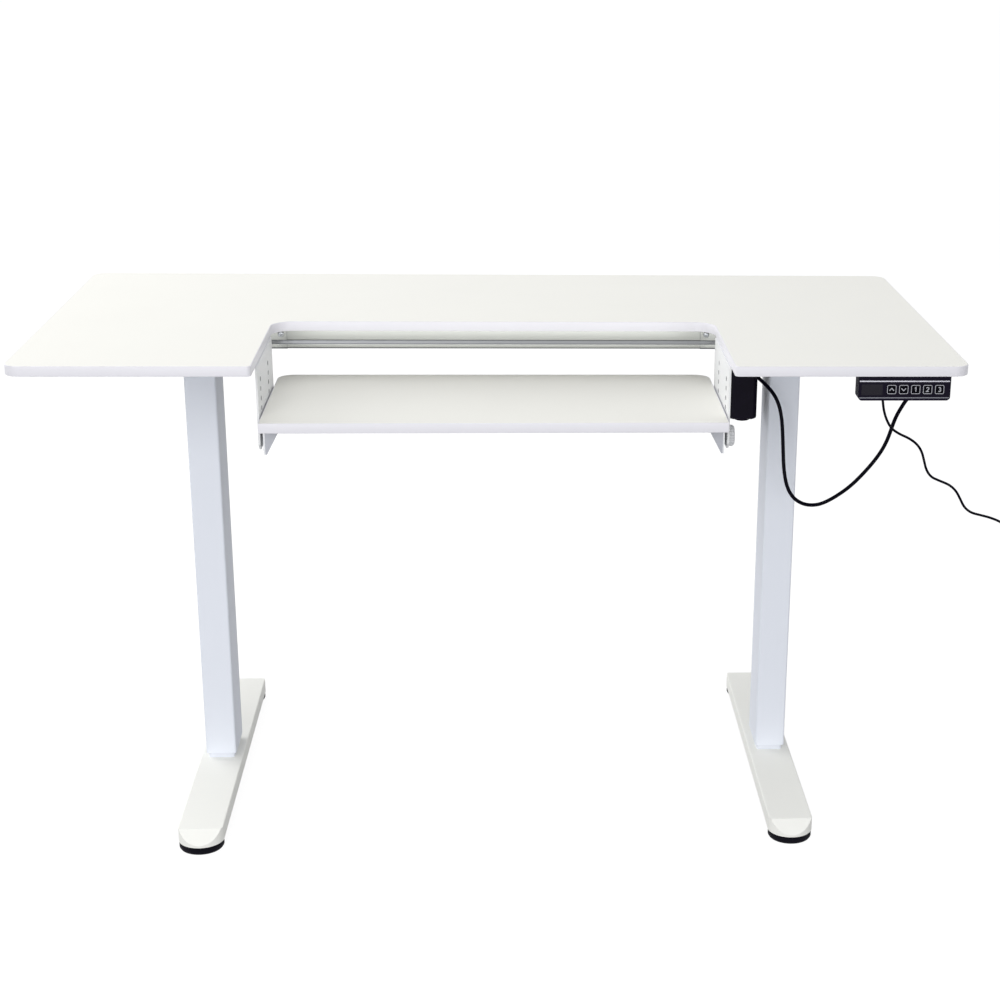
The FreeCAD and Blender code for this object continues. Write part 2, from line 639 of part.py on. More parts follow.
def columns():
    """Tubes, glides, end plates, bolts and nuts."""
    upper, lower, plates, bolts, nuts = [], [], [], [], []
    for side, sign in SIDES:
        x = sign * column_offset
        window = shaft_window(x, sign, s.tube_width)
        tube(f"outer_tube_{side}", s.tube_width, s.tube_depth, s.tube_corner, s.tube_wall, x, tube_bottom,
             tube_top - tube_bottom, [window])
        tube(f"inner_tube_{side}", inner_width, inner_depth, s.inner_corner, s.inner_wall, x, foot_top,
             inner_length)
        upper.append(ring(s.glide_play, s.glide_seat, x, inner_top - s.glide_height))
        lower.append(ring(s.glide_seat, s.glide_play, x, tube_bottom))
        core = (core_width - 2 * s.end_plate_play, core_depth - 2 * s.end_plate_play)
        threads = [rod(s.bolt_diameter + 2 * s.thread_play, s.end_plate_height, (bx, by, foot_top))
                   for bx, by in bolt_spots(x)]
        plates.append(cut(rounded_block((*core, s.end_plate_height), x, s.column_back, foot_top, core_corner),
                          compound(threads)))
        bolts += [screw(s.bolt_diameter, s.bolt_head, s.bolt_head_height, s.foot_wall + s.bolt_grip,
                        (bx, by, foot_top - s.foot_wall), "up") for bx, by in bolt_spots(x)]
        nut_bottom = inner_top - s.nut_height
        bore = rod(s.spindle_diameter + 2 * s.thread_play, s.nut_height, (x, s.column_back, nut_bottom))
        nut = rounded_block((*core, s.nut_height), x, s.column_back, nut_bottom, core_corner)
        nuts.append(cut(nut, bore))
    node("upper_glides", compound(upper))
    node("lower_glides", compound(lower))
    node("column_end_plates", compound(plates))
    node("foot_bolts", compound(bolts))
    node("drive_nuts", compound(nuts))


def drive():
    """Spindles, column gearboxes and the shaft between them."""
    shaft_end = column_offset - s.shaft_stop
    boxes = []
    for side, sign in SIDES:
        x = sign * column_offset
        length = gearbox_bottom + s.spindle_journal - s.spindle_start
        node(f"spindle_{side}", rod(s.spindle_diameter, length, (x, s.column_back, s.spindle_start)))
        bore = rod(s.spindle_diameter + 2 * s.thread_play, s.spindle_journal + s.shaft_play,
                   (x, s.column_back, gearbox_bottom))
        end = sign * (shaft_end + s.shaft_play)
        start = sign * (column_offset - s.tube_width)
        mouth = shaft_rod(s.shaft_diameter + 2 * s.shaft_play, *((end, start) if sign < 0 else (start, end)))
        housing = rounded_block((cavity_width - 2 * s.gearbox_play, s.gearbox_depth, s.gearbox_height),
                                x, s.column_back, gearbox_bottom, s.gearbox_play)
        boxes.append(cut(housing, bore, mouth))
    node("column_gearboxes", compound(boxes))
    shaft = document.addObject("Part::Prism", "Shaft")
    shaft.Polygon = 6
    bind(shaft, Circumradius=s.shaft_diameter / 2, Height=2 * shaft_end)
    node("cross_shaft", place(shaft, (-shaft_end, s.column_back, shaft_level), "right"))


def outline(inset):
    """The top's board with its cut-out, drawn in by the inset."""
    middle = as_size(0)
    well_depth = s.cutout_depth + inset
    board = block((s.table_width - 2 * inset, s.table_depth - 2 * inset, s.board_thickness), middle, middle,
                  underside)
    well = block((s.cutout_width + 2 * inset, well_depth, s.board_thickness), middle,
                 board_front + well_depth / 2, underside)
    lip = s.cutout_width.value / 2 + inset.value
    rear = board_front.value + well_depth.value

    def radius(edge):
        if not runs_along(edge, "z"):
            return None
        spot = edge.Vertexes[0].Point
        if abs(abs(spot.x) - lip) > 1e-6:
            return s.table_corner - inset
        return s.cutout_corner + inset if abs(spot.y - rear) < 1e-6 else s.cutout_lip - inset

    return soften("Fillet", cut(board, well), radius)


def top_board():
    """The board of the top, its edge band and the screws in it."""
    spots = panel_screw_spots()
    screws = [wood_screw(spot, s.panel_tab_height) for spot in spots]
    for side, sign in SIDES:
        spots += bracket_screw_spots(sign) + plate_screw_spots(sign)
        screws += [wood_screw(spot, s.bracket_wall) for spot in bracket_screw_spots(sign)]
        screws += [wood_screw(spot, s.plate_thickness) for spot in plate_screw_spots(sign)]
    pilot = screw_holes(spots, underside, s.screw_grip)
    node("top_screws", compound(screws))
    node("tabletop", cut(outline(s.edge_band), compound(pilot)))
    node("tabletop_edge", cut(outline(as_size(0)), outline(s.edge_band)))


def shelf_outline(inset):
    """The shelf's board, drawn in by the inset, with its rear corners rounded."""
    plain = block((2 * (shelf_half - inset), s.shelf_depth - 2 * inset, s.board_thickness), as_size(0),
                  shelf_middle, shelf_bottom)

    def radius(edge):
        at_rear = runs_along(edge, "z") and edge.Vertexes[0].Point.y > shelf_middle.value
        return s.shelf_corner - inset if at_rear else None

    return soften("Fillet", plain, radius)


def shelf():
    """The shelf's board, its edge band, its two brackets and their screws."""
    spots = [spot for side, sign in SIDES for spot in shelf_screw_spots(sign)]
    pilot = screw_holes(spots, shelf_bottom, s.screw_grip)
    node("shelf_board", cut(shelf_outline(s.edge_band), compound(pilot)))
    node("shelf_edge", cut(shelf_outline(as_size(0)), shelf_outline(s.edge_band)))
    node("shelf_screws", compound(wood_screw(spot, s.angle_sheet) for spot in spots))
    for side, sign in SIDES:
        node(f"shelf_bracket_{side}", shelf_bracket(sign))


def gusset(sign, y):
    """A triangular stiffener between the bracket's leg and its flange."""
    wedge = document.addObject("Part::Wedge", "Gusset")
    wide = s.angle_flange
    bind(wedge, Ymin=0, Ymax=s.angle_height - s.angle_sheet, Zmin=0, Zmax=s.angle_sheet, Z2min=0,
         Z2max=s.angle_sheet)
    if sign < 0:
        bind(wedge, Xmin=0, Xmax=s.gusset_tip, X2min=0, X2max=wide)
    else:
        bind(wedge, Xmin=-s.gusset_tip, Xmax=0, X2min=-wide, X2max=0)
    return place(wedge, (sign * angle_inside, y, shelf_bottom - s.angle_height), "forward")


def shelf_bracket(sign):
    """An angle with two gussets, and upright slots for the stud and the guide pin."""
    middle = (plate_start + plate_end) / 2
    leg_x = sign * (angle_outside - s.angle_sheet / 2)
    leg = block((s.angle_sheet, s.plate_depth, s.angle_height), leg_x, middle, shelf_bottom - s.angle_height)
    flange = block((s.angle_flange, s.plate_depth, s.angle_sheet), sign * (angle_inside - s.angle_flange / 2),
                   middle, shelf_bottom - s.angle_sheet)
    gussets = [gusset(sign, plate_start + s.angle_sheet), gusset(sign, plate_end)]
    slots = [slot(sign, y) for y in hole_columns]
    holes = screw_holes(shelf_screw_spots(sign), shelf_bottom - s.angle_sheet, s.angle_sheet)
    return cut(fuse(leg, flange, *gussets), *slots, compound(holes))


def slot(sign, y):
    """An upright slot with round ends through the bracket's leg."""
    start = sign * angle_inside if sign > 0 else sign * angle_outside
    leg_x = sign * (angle_outside - s.angle_sheet / 2)
    straight = block((s.angle_sheet, s.hole_diameter, s.slot_travel), leg_x, y,
                     stud_level - s.slot_travel / 2)
    ends = [rod(s.hole_diameter, s.angle_sheet, (start, y, stud_level + way * s.slot_travel / 2), "right")
            for way in (-1, 1)]
    return fuse(straight, *ends)


def top_brackets():
    """Channels under the board, welded on the outer tubes."""
    for side, sign in SIDES:
        x = sign * column_offset
        bottom = underside - s.bracket_height
        channel = block((s.bracket_width, s.bracket_length, s.bracket_height), x, s.column_back, bottom)
        inside = block((s.bracket_width - 2 * s.bracket_wall, s.bracket_length,
                        s.bracket_height - s.bracket_wall), x, s.column_back, bottom)
        window = shaft_window(x, sign, s.bracket_width)
        holes = screw_holes(bracket_screw_spots(sign), tube_top, s.bracket_wall)
        node(f"top_bracket_{side}", cut(channel, inside, window, compound(holes)))


def lower_edges(rounding, level):
    """Rounds the edges along X at a level."""
    def radius(edge):
        low = runs_along(edge, "x") and abs(edge.Vertexes[0].Point.z - level.value) < 1e-6
        return rounding if low else None
    return radius


def rail_tube(start, end, drawn_in):
    """A rail between two places on X, drawn in from the sleeve's outside."""
    def solid(inset):
        bottom = rail_bottom + inset
        plain = block((end - start, s.rail_depth - 2 * inset, s.rail_height - 2 * inset), (start + end) / 2,
                      s.column_back, bottom)
        return soften("Fillet", plain, lower_edges(s.rail_round - inset, bottom))

    return cut(solid(drawn_in), solid(drawn_in + s.rail_wall))


def rails():
    """The crossbar, its two sleeves and the clamping screws."""
    drawn_in = s.rail_wall + s.rail_play
    half = rail_reach + s.rail_overlap
    face = s.rail_depth / 2 - drawn_in
    bar = rail_tube(-half, half, drawn_in)
    grooves = [block((2 * half, 2 * s.rail_groove_depth, s.rail_groove_height), as_size(0),
                     s.column_back + way * face, underside - s.rail_groove_drop) for way in (-1, 1)]
    screws = []
    holes = []
    for sign in (-1, 1):
        x = sign * (rail_reach + s.rail_screw_inset)
        for way, turn in ((-1, "back"), (1, "forward")):
            seat = (x, s.column_back + way * s.rail_depth / 2, underside - s.rail_screw_drop)
            grip = s.rail_screw_length
            screws.append(screw(s.rail_screw_diameter, s.screw_head, s.screw_head_height, grip, seat, turn))
            holes.append(rod(s.rail_screw_diameter + 2 * s.thread_play, grip, seat, turn))
    drill = compound(holes)
    node("rail_center", cut(bar, *grooves, drill))
    node("rail_left", cut(rail_tube(-sleeve_end, -rail_reach, as_size(0)), drill))
    opening = block((s.motor_gearbox_width + 2 * s.motor_gearbox_play,
                     s.motor_gearbox_depth + 2 * s.motor_gearbox_play, s.rail_round), motor_x, s.column_back,
                    rail_bottom)
    node("rail_right", cut(rail_tube(rail_reach, sleeve_end, as_size(0)), drill, opening))
    node("rail_screws", compound(screws))


def motor():
    """The motor, its gearbox on the cross shaft, its cover and the cable gland."""
    bottom = rail_bottom - s.cover_height
    can_bottom = bottom + s.cover_wall + s.motor_gearbox_play
    can_top = can_bottom + s.motor_length
    can = rod(s.motor_diameter, s.motor_length, (motor_x, s.column_back, can_bottom))
    gearbox_top = underside - s.rail_wall - s.motor_gearbox_play
    gearbox = block((s.motor_gearbox_width, s.motor_gearbox_depth, gearbox_top - can_top), motor_x,
                    s.column_back, can_top)
    bore = shaft_rod(s.shaft_diameter + 2 * s.shaft_play, motor_x - s.motor_gearbox_width,
                     motor_x + s.motor_gearbox_width)
    node("gear_motor", cut(fuse(can, gearbox), bore))

    def shell(wall):
        plain = block((s.cover_width - 2 * wall, s.cover_depth - 2 * wall, s.cover_height - wall), motor_x,
                      s.column_back, bottom + wall)
        chamfer = s.cover_chamfer - wall * (2 - math.sqrt(2))
        return soften("Chamfer", plain, lambda edge: chamfer if runs_along(edge, "z") else None)

    def bottom_edge(edge):
        return s.cover_round if edge.BoundBox.ZMax < bottom.value + 1e-6 else None

    outside = soften("Fillet", shell(as_size(0)), bottom_edge)
    boss_spot = (motor_x, cover_front + s.cover_boss_back, bottom + s.cover_wall)
    boss_bottom = bottom - s.cover_boss_height

    def boss_rim(edge):
        return s.cover_boss_round if edge.BoundBox.ZMax < boss_bottom.value + 1e-6 else None

    boss = soften("Fillet", rod(s.cover_boss, s.cover_boss_height + s.cover_wall, boss_spot, "down"), boss_rim)
    node("motor_cover", cut(fuse(outside, boss), shell(s.cover_wall)))
    spot = (gland_x, cover_front, gland_level)
    node("motor_gland", cone(s.gland_base, s.gland_tip, s.gland_length, spot, "forward"))


def side_plates():
    """Drilled plates at the sides of the cut-out, with a flange under the board."""
    for side, sign in SIDES:
        middle = (plate_start + plate_end) / 2
        sheet_x = sign * (plate_inside + s.plate_thickness / 2)
        low = underside - s.plate_drop
        leaf = block((s.plate_thickness, s.plate_depth, s.plate_drop), sheet_x, middle, low)

        def corner(edge):
            at_bottom = runs_along(edge, "x") and abs(edge.Vertexes[0].Point.z - low.value) < 1e-6
            return s.plate_chamfer if at_bottom else None

        leaf = soften("Chamfer", leaf, corner)
        flange = block((s.plate_flange, s.plate_depth, s.plate_thickness),
                       sign * (plate_outside + s.plate_flange / 2), middle, underside - s.plate_thickness)
        start = sign * plate_inside if sign > 0 else sign * plate_outside
        holes = [rod(s.hole_diameter, s.plate_thickness,
                     (start, y, underside - s.hole_first - row * s.hole_pitch), "right")
                 for y in hole_columns for row in range(round(s.hole_count.value))]
        holes += screw_holes(plate_screw_spots(sign), underside - s.plate_thickness, s.plate_thickness)
        node(f"side_plate_{side}", cut(fuse(leaf, flange), compound(holes)))


def clamps():
    """Knobs with their studs, nuts and spacers, and the guide pins."""
    pins, spacers, nuts = [], [], []
    nut_face = angle_inside - s.angle_play
    spacer_face = angle_outside + s.angle_play
    reach = plate_outside + s.knob_gap - nut_face + s.nut_length
    for side, sign in SIDES:
        turn = "right" if sign > 0 else "left"
        inward = "left" if sign > 0 else "right"
        front, rear = hole_columns
        knob_y, pin_y = (front, rear) if sign > 0 else (rear, front)
        for y in hole_columns:
            start = (sign * spacer_face, y, stud_level)
            spacer = rod(s.spacer_diameter, plate_inside - spacer_face, start, turn)
            spacers.append(cut(spacer, rod(s.hole_diameter, plate_inside - spacer_face, start, turn)))
        nut_start = (sign * nut_face, knob_y, stud_level)
        thread = rod(s.stud_diameter + 2 * s.thread_play, s.nut_length, nut_start, inward)
        nuts.append(cut(rod(s.nut_diameter, s.nut_length, nut_start, inward), thread))
        pin_start = (sign * nut_face, pin_y, stud_level)
        head = rod(s.nut_diameter, s.nut_length, pin_start, inward)
        shank = rod(s.stud_diameter, plate_outside - nut_face, pin_start, turn)
        pins.append(fuse(head, shank))
        knob(side, (sign * (plate_outside + s.knob_gap), knob_y, stud_level), turn, reach)
    node("guide_pins", compound(pins))
    node("clamp_spacers", compound(spacers))
    node("clamp_nuts", compound(nuts))


def knob(side, spot, turn, reach):
    """A round clamping knob on its stud."""
    radius = s.knob_diameter / 2
    stud = s.stud_diameter / 2
    profile = ((0, -reach), (stud, -reach), (stud, 0), (radius - s.knob_edge, 0), (radius, s.knob_edge),
               (radius, s.knob_thickness - s.knob_edge), (radius - s.knob_edge, s.knob_thickness),
               (0, s.knob_thickness))
    turned(f"knob_{side}", profile, spot, turn)


def key_spots():
    """Middles of the keys, from left to right."""
    last = len(KEYS) - 1
    return [panel_right - s.key_last - (last - index) * s.key_pitch for index in range(len(KEYS))]


def upright_slab(width, height, middle_x, middle_z, front, depth, radius=None):
    """A slab that stands behind the panel's face, its edges along Y rounded where a radius is given."""
    spot = ((width, depth, height), middle_x, front + depth / 2, middle_z - height / 2)
    return block(*spot) if radius is None else rounded_block(*spot, radius, "y")


def key_panel():
    """The key panel: housing, face, trim, display, keys, their circuit board, glands and screws."""
    key_level = underside - s.key_drop
    face_width = face_end - face_start
    face_middle = (face_start + face_end) / 2
    recess = upright_slab(face_width, s.face_height, face_middle, face_top - s.face_height / 2, panel_face,
                          s.face_recess)
    key_hole = s.key_size + 2 * s.key_play
    holes = compound(upright_slab(key_hole, key_hole, x, key_level, panel_face, s.panel_wall, s.key_corner)
                     for x in key_spots())
    shell = soften("Fillet", block((s.panel_width, s.panel_depth, s.panel_height), panel_middle,
                                   panel_face + s.panel_depth / 2, panel_bottom), panel_corner)
    inside = block((s.panel_width - 2 * s.panel_wall, s.panel_depth - 2 * s.panel_wall,
                    s.panel_height - s.panel_wall), panel_middle, panel_face + s.panel_depth / 2,
                   panel_bottom + s.panel_wall)
    tab = block((s.panel_tab_width, s.panel_tab, s.panel_tab_height), panel_middle,
                panel_face + s.panel_depth + s.panel_tab / 2, underside - s.panel_tab_height)
    tab_bottom = underside - s.panel_tab_height
    screw_bores = compound(screw_holes(panel_screw_spots(), tab_bottom, s.panel_tab_height))
    node("panel_housing", cut(fuse(shell, tab), inside, recess, holes, screw_bores))

    plate_height = s.face_height - s.trim_upper - s.trim_lower
    plate_level = face_bottom + s.trim_lower + plate_height / 2
    plate_front = panel_face + s.face_recess - s.face_thickness
    window_x = face_start + s.window_left + s.window_width / 2
    plate = upright_slab(face_width, plate_height, face_middle, plate_level, plate_front, s.face_thickness)
    window = (s.window_width, s.window_height, window_x, plate_level, plate_front, s.face_thickness)
    node("panel_face", cut(plate, upright_slab(*window), holes))
    node("display_window", upright_slab(*window))
    trim_front = panel_face - s.trim_proud
    trim_depth = s.trim_proud + s.face_recess
    strips = ((s.trim_upper, face_top - s.trim_upper / 2), (s.trim_lower, face_bottom + s.trim_lower / 2))
    node("panel_trim", compound(upright_slab(face_width, height, face_middle, level, trim_front, trim_depth)
                                for height, level in strips))

    key_front = panel_face - s.key_proud
    for label, x in zip(KEYS, key_spots()):
        node(label, upright_slab(s.key_size, s.key_size, x, key_level, key_front, s.key_length, s.key_corner))
    switch_front = key_front + s.key_length + s.key_gap
    board_middle = panel_bottom + s.panel_height / 2
    board_front_y = switch_front + s.switch_height
    board = upright_slab(s.panel_width - 2 * s.panel_wall - 2 * s.key_board_margin,
                         s.panel_height - 2 * s.panel_wall, panel_middle, board_middle, board_front_y,
                         s.key_board_thickness)
    switches = [upright_slab(s.switch_size, s.switch_size, x, key_level, switch_front, s.switch_height)
                for x in key_spots()]
    node("key_board", fuse(board, *switches))
    node("panel_glands", compound(
        cone(s.gland_base, s.gland_tip, s.panel_gland_length, (x, panel_gland_y, panel_gland_level), "back")
        for x in (cable_gland_x, cord_gland_x)))


def panel_corner(edge):
    """The panel's two lower corners, seen from the front."""
    low = runs_along(edge, "y") and abs(edge.Vertexes[0].Point.z - panel_bottom.value) < 1e-6
    return s.panel_round if low else None


def cord_wire(points):
    """Straight runs joined by the largest tangent arcs that the runs allow, and the arcs' radii."""
    share = 0.45
    edges, radii = [], []
    start = points[0]
    for before, corner, after in zip(points, points[1:], points[2:]):
        arriving = (corner - before).normalize()
        leaving = (after - corner).normalize()
        reach = share * min((corner - before).Length, (after - corner).Length)
        turn = arriving.getAngle(leaving)
        radii.append(reach / math.tan(turn / 2))
        first = corner - arriving * reach
        last = corner + leaving * reach
        inward = (leaving - arriving).normalize()
        sagitta = radii[-1] * (1 / math.cos(turn / 2) - 1)
        edges.append(Part.LineSegment(start, first).toShape())
        edges.append(Part.Arc(first, corner + inward * sagitta, last).toShape())
        start = last
    edges.append(Part.LineSegment(start, points[-1]).toShape())
    return Part.Wire(edges), radii


def sweep(wire, diameter):
    """A round tube along a wire."""
    start = wire.OrderedVertexes[0].Point
    heading = wire.OrderedEdges[0].tangentAt(wire.OrderedEdges[0].FirstParameter)
    if (wire.OrderedEdges[0].valueAt(wire.OrderedEdges[0].FirstParameter) - start).Length > 1e-6:
        heading = -wire.OrderedEdges[0].tangentAt(wire.OrderedEdges[0].LastParameter)
    profile = Part.Wire(Part.Circle(start, heading, diameter / 2).toShape())
    maker = Part.BRepOffsetAPI.MakePipeShell(wire)
    maker.add(profile)
    maker.build()
    maker.makeSolid()
    solid = maker.shape()
    expected = math.pi * diameter ** 2 / 4 * wire.Length
    if abs(solid.Volume / expected - 1) > 0.01:
        raise RuntimeError(f"a tube's volume is {solid.Volume:.0f} and not {expected:.0f}")
    return solid


def fitted(route, start, end):
    """A route moved so that its first and last runs begin and end where they should."""
    points = [FreeCAD.Vector(*point) for point in route]
    start_shift = start - points[0]
    end_shift = end - points[-1]
    last_turn = len(points) - 3
    shares = [min(max((index - 1) / last_turn, 0), 1) for index in range(len(points))]
    return [point + start_shift * (1 - share) + end_shift * share for point, share in zip(points, shares)]


def spot_of(*sizes):
    """A point from three sizes."""
    return FreeCAD.Vector(*(size.value for size in sizes))


def cord(label, route, diameter, start, end):
    """A hanging cord as a tube along its route."""
    wire, radii = cord_wire(fitted(route, start, end))
    print(f"{label}: length {wire.Length:.0f}, least radius {min(radii):.1f}, radii",
          " ".join(f"{radius:.0f}" for radius in radii))
    feature = document.addObject("Part::Feature", "Cord")
    feature.Shape = sweep(wire, diameter.value)
    feature.Placement = FreeCAD.Placement()
    return node(label, feature)


def coil_point(angle):
    """The coil's middle line: a spiral in, a half turn that climbs a layer, and a spiral out."""
    inward = 2 * math.pi * s.coil_turns.value
    pitch = coil_pitch.value
    climbed = min(max((angle - inward) / math.pi, 0), 1)
    wound = min(angle, inward) - max(angle - inward - math.pi, 0)
    radius = s.coil_radius.value - pitch * wound / (2 * math.pi)
    rise = pitch * (climbed - math.sin(2 * math.pi * climbed) / (2 * math.pi))
    return FreeCAD.Vector(coil_x.value + radius * math.cos(angle), coil_y.value + radius * math.sin(angle),
                          coil_level.value + rise)


def coil_heading(angle):
    """The direction of the coil's middle line."""
    step = 1e-5
    return (coil_point(angle + step) - coil_point(angle - step)).normalize()


def biarc(start, heading, end, last_heading):
    """Two arcs that meet smoothly, from one point and direction to another."""
    chord = end - start
    both = heading + last_heading
    across = 2 * (1 - heading.dot(last_heading))
    lean = chord.dot(both)
    reach = (-lean + math.sqrt(lean ** 2 + across * chord.dot(chord))) / across
    first = start + heading * reach
    last = end - last_heading * reach
    return tangent_arc(start, first, (first + last) * 0.5) + tangent_arc((first + last) * 0.5, last, end)


def tangent_arc(start, corner, end):
    """The arc that touches both legs of a corner with equal legs."""
    middle = (start + end) * 0.5
    half = (end - start).Length / 2
    leg = (corner - start).Length
    depth = (corner - middle).Length
    top = middle + (corner - middle).normalize() * (half * (leg - half) / depth)
    return [Part.Arc(start, top, end).toShape()]


def coil():
    """The power cord's put-away length, wound into a coil of two layers that begins and ends along +Y."""
    quarter = math.pi / 2
    count = round(4 * (2 * s.coil_turns.value + 1))
    stations = [(coil_point(index * quarter), coil_heading(index * quarter)) for index in range(count + 1)]
    ahead = FreeCAD.Vector(0, 1, 0)
    stations[0] = (stations[0][0], ahead)
    stations[-1] = (stations[-1][0], ahead)
    diameter = s.power_cord_diameter.value
    edges = [Part.LineSegment(stations[0][0] - ahead * diameter, stations[0][0]).toShape()]
    for (start, heading), (end, last_heading) in zip(stations, stations[1:]):
        edges += biarc(start, heading, end, last_heading)
    tail = stations[-1][0] + ahead * diameter
    edges.append(Part.LineSegment(stations[-1][0], tail).toShape())
    wire = Part.Wire(edges)
    feature = document.addObject("Part::Feature", "Coil")
    feature.Shape = sweep(wire, diameter)
    feature.Placement = FreeCAD.Placement()
    steps = 720
    total = count * quarter
    points = [coil_point(total * index / steps) for index in range(steps + 1)]
    apart = round(steps / count * 2)
    nearest = min((points[i] - points[j]).Length for i in range(steps) for j in range(i + apart, steps))
    print(f"power_cord_coil: length {wire.Length:.0f}, least gap to itself {nearest - diameter:.2f}")
    node("power_cord_coil", feature)
    return tail


def coil_tie():
    """A strap round the coil's turns."""
    depth = s.coil_turns * coil_pitch + 2 * s.power_cord_diameter
    height = coil_pitch + s.power_cord_diameter + 2 * s.tie_room
    middle = coil_y + s.coil_radius - s.coil_turns * coil_pitch / 2 - coil_pitch / 8
    bottom = s.tie_room
    strap = rounded_block((s.tie_width, depth, height + 2 * s.tie_thickness), coil_x, middle, bottom,
                          2 * s.tie_thickness, "x")
    inside = rounded_block((s.tie_width, depth - 2 * s.tie_thickness, height), coil_x, middle,
                           bottom + s.tie_thickness, s.tie_thickness, "x")
    node("cord_tie", cut(strap, inside))


def plug(start):
    """The plug at the end of the cord: bend relief, body and pins, lying on the floor along +Y."""
    x = as_size(start.x)
    level = as_size(start.z)
    relief = cone(s.plug_sleeve_tip, s.plug_sleeve_base, s.plug_sleeve, (x, start.y, level), "back")
    base = start.y + s.plug_sleeve
    body = rounded_block((s.plug_width, s.plug_length, s.plug_height), x, base + s.plug_length / 2,
                         s.tie_room, s.plug_round, "y")
    node("power_plug", fuse(relief, body))
    end = base + s.plug_length
    pin_level = s.tie_room + s.plug_height / 2
    node("plug_pins", compound(
        rod(s.pin_diameter, s.pin_length, (x + across * s.pin_spacing / 2, end, pin_level), "back")
        for across in (-1, 1)))


def check_and_write():
    """Stop on any failed object, then write each sub-part."""
    document.recompute()
    for thing in document.Objects:
        if "Invalid" in thing.State or "Error" in thing.State:
            raise RuntimeError(f"{thing.Label} failed: {thing.State}")
    for label, thing in nodes.items():
        if thing.Shape.isNull() or not thing.Shape.isValid():
            raise RuntimeError(f"{label} has no valid shape")
    os.makedirs("parts", exist_ok=True)
    for label, thing in nodes.items():
        thing.Shape.exportStep(f"parts/{label}.step")
    print(f"{len(nodes)} sub-parts written")


for side_name, side_sign in SIDES:
    foot(side_name, side_sign)
    pads(side_name, side_sign)
columns()
drive()
top_board()
top_brackets()
rails()
motor()
side_plates()
shelf()
clamps()
key_panel()
panel_gland_tip = panel_gland_y + s.panel_gland_length
cord("motor_cable", MOTOR_CABLE_ROUTE, s.motor_cable_diameter,
     spot_of(gland_x, cover_front - s.gland_length, gland_level),
     spot_of(cable_gland_x, panel_gland_tip, panel_gland_level))
cord("power_cord", POWER_CORD_ROUTE, s.power_cord_diameter,
     spot_of(cord_gland_x, panel_gland_tip, panel_gland_level),
     spot_of(coil_x + s.coil_radius, coil_y - s.power_cord_diameter, coil_level))
plug(coil())
coil_tie()
check_and_write()
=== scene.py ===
"""Looks of a height-adjustable table with a sunken shelf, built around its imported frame."""

import logging
import math
from dataclasses import dataclass, replace
from enum import Enum
from functools import lru_cache
from typing import Callable, Mapping, Optional, Sequence, Union

import bmesh
import bpy
import numpy as np
from mathutils import Matrix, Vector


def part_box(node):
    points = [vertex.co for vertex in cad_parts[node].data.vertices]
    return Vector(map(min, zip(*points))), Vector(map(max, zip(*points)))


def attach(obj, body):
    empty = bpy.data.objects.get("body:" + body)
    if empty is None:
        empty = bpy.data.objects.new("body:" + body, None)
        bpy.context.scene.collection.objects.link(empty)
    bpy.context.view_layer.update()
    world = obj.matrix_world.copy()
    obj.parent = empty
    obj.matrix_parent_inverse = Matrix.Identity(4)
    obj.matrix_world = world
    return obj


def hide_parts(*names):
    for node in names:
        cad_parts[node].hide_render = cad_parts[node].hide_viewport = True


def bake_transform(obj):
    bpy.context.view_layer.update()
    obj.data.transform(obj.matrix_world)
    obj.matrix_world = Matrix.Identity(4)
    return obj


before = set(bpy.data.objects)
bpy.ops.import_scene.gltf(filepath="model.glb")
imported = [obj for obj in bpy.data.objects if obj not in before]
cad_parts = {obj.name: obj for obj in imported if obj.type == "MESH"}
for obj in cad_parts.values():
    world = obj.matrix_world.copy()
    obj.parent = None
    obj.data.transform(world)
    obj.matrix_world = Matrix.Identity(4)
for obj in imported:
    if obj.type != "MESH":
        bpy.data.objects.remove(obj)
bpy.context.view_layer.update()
LOG = logging.getLogger("table")
MM = 0.001
RELIEF_DEPTH = 0.0004
COAT_ROUGHNESS = 0.12
CELL_FINENESS = 1.7
SHARPEST_MITRE = 0.4
SLANT = (0.0, 0.6, 0.8)

Array = np.ndarray
Point = Sequence[float]
Ripple = Callable[[Array, Array], Array]
Tree = bpy.types.NodeTree
Socket = bpy.types.NodeSocket
Operand = Union[float, Sequence[float], Socket]


class Way(Enum):
    """Directions in which turned pieces point."""

    UP = (0.0, 0.0, 1.0)
    DOWN = (0.0, 0.0, -1.0)
    LEFT = (-1.0, 0.0, 0.0)
    RIGHT = (1.0, 0.0, 0.0)
    FRONT = (0.0, -1.0, 0.0)
    BACK = (0.0, 1.0, 0.0)


class Brush(Enum):
    """Stretch of the fine lines that rolling or drawing leaves, in lines per metre along X, Y and Z."""

    ALONG_X = (6.0, 2600.0, 2600.0)
    ALONG_Z = (2600.0, 2600.0, 6.0)


def unit(vectors: Array) -> Array:
    """Vectors of the last axis divided by their own lengths."""
    return vectors / np.linalg.norm(vectors, axis=-1, keepdims=True)


def full_turn(sides: int) -> Array:
    """Equal angles round a full turn, without the last that meets the first."""
    return np.linspace(0.0, 2 * np.pi, sides, endpoint=False)


def spokes(way: Way, angle: Array) -> Array:
    """Directions square to an axis, cos(angle) x first + sin(angle) x second, shaped angles by 3."""
    axis, first = np.asarray(way.value), np.roll(way.value, 1)
    return np.cos(angle)[:, None] * first + np.sin(angle)[:, None] * np.cross(axis, first)


def rectangle(left: float, low: float, right: float, high: float) -> list[Point]:
    """Corners of a rectangle, anticlockwise from the lower left one."""
    return [(left, low), (right, low), (right, high), (left, high)]


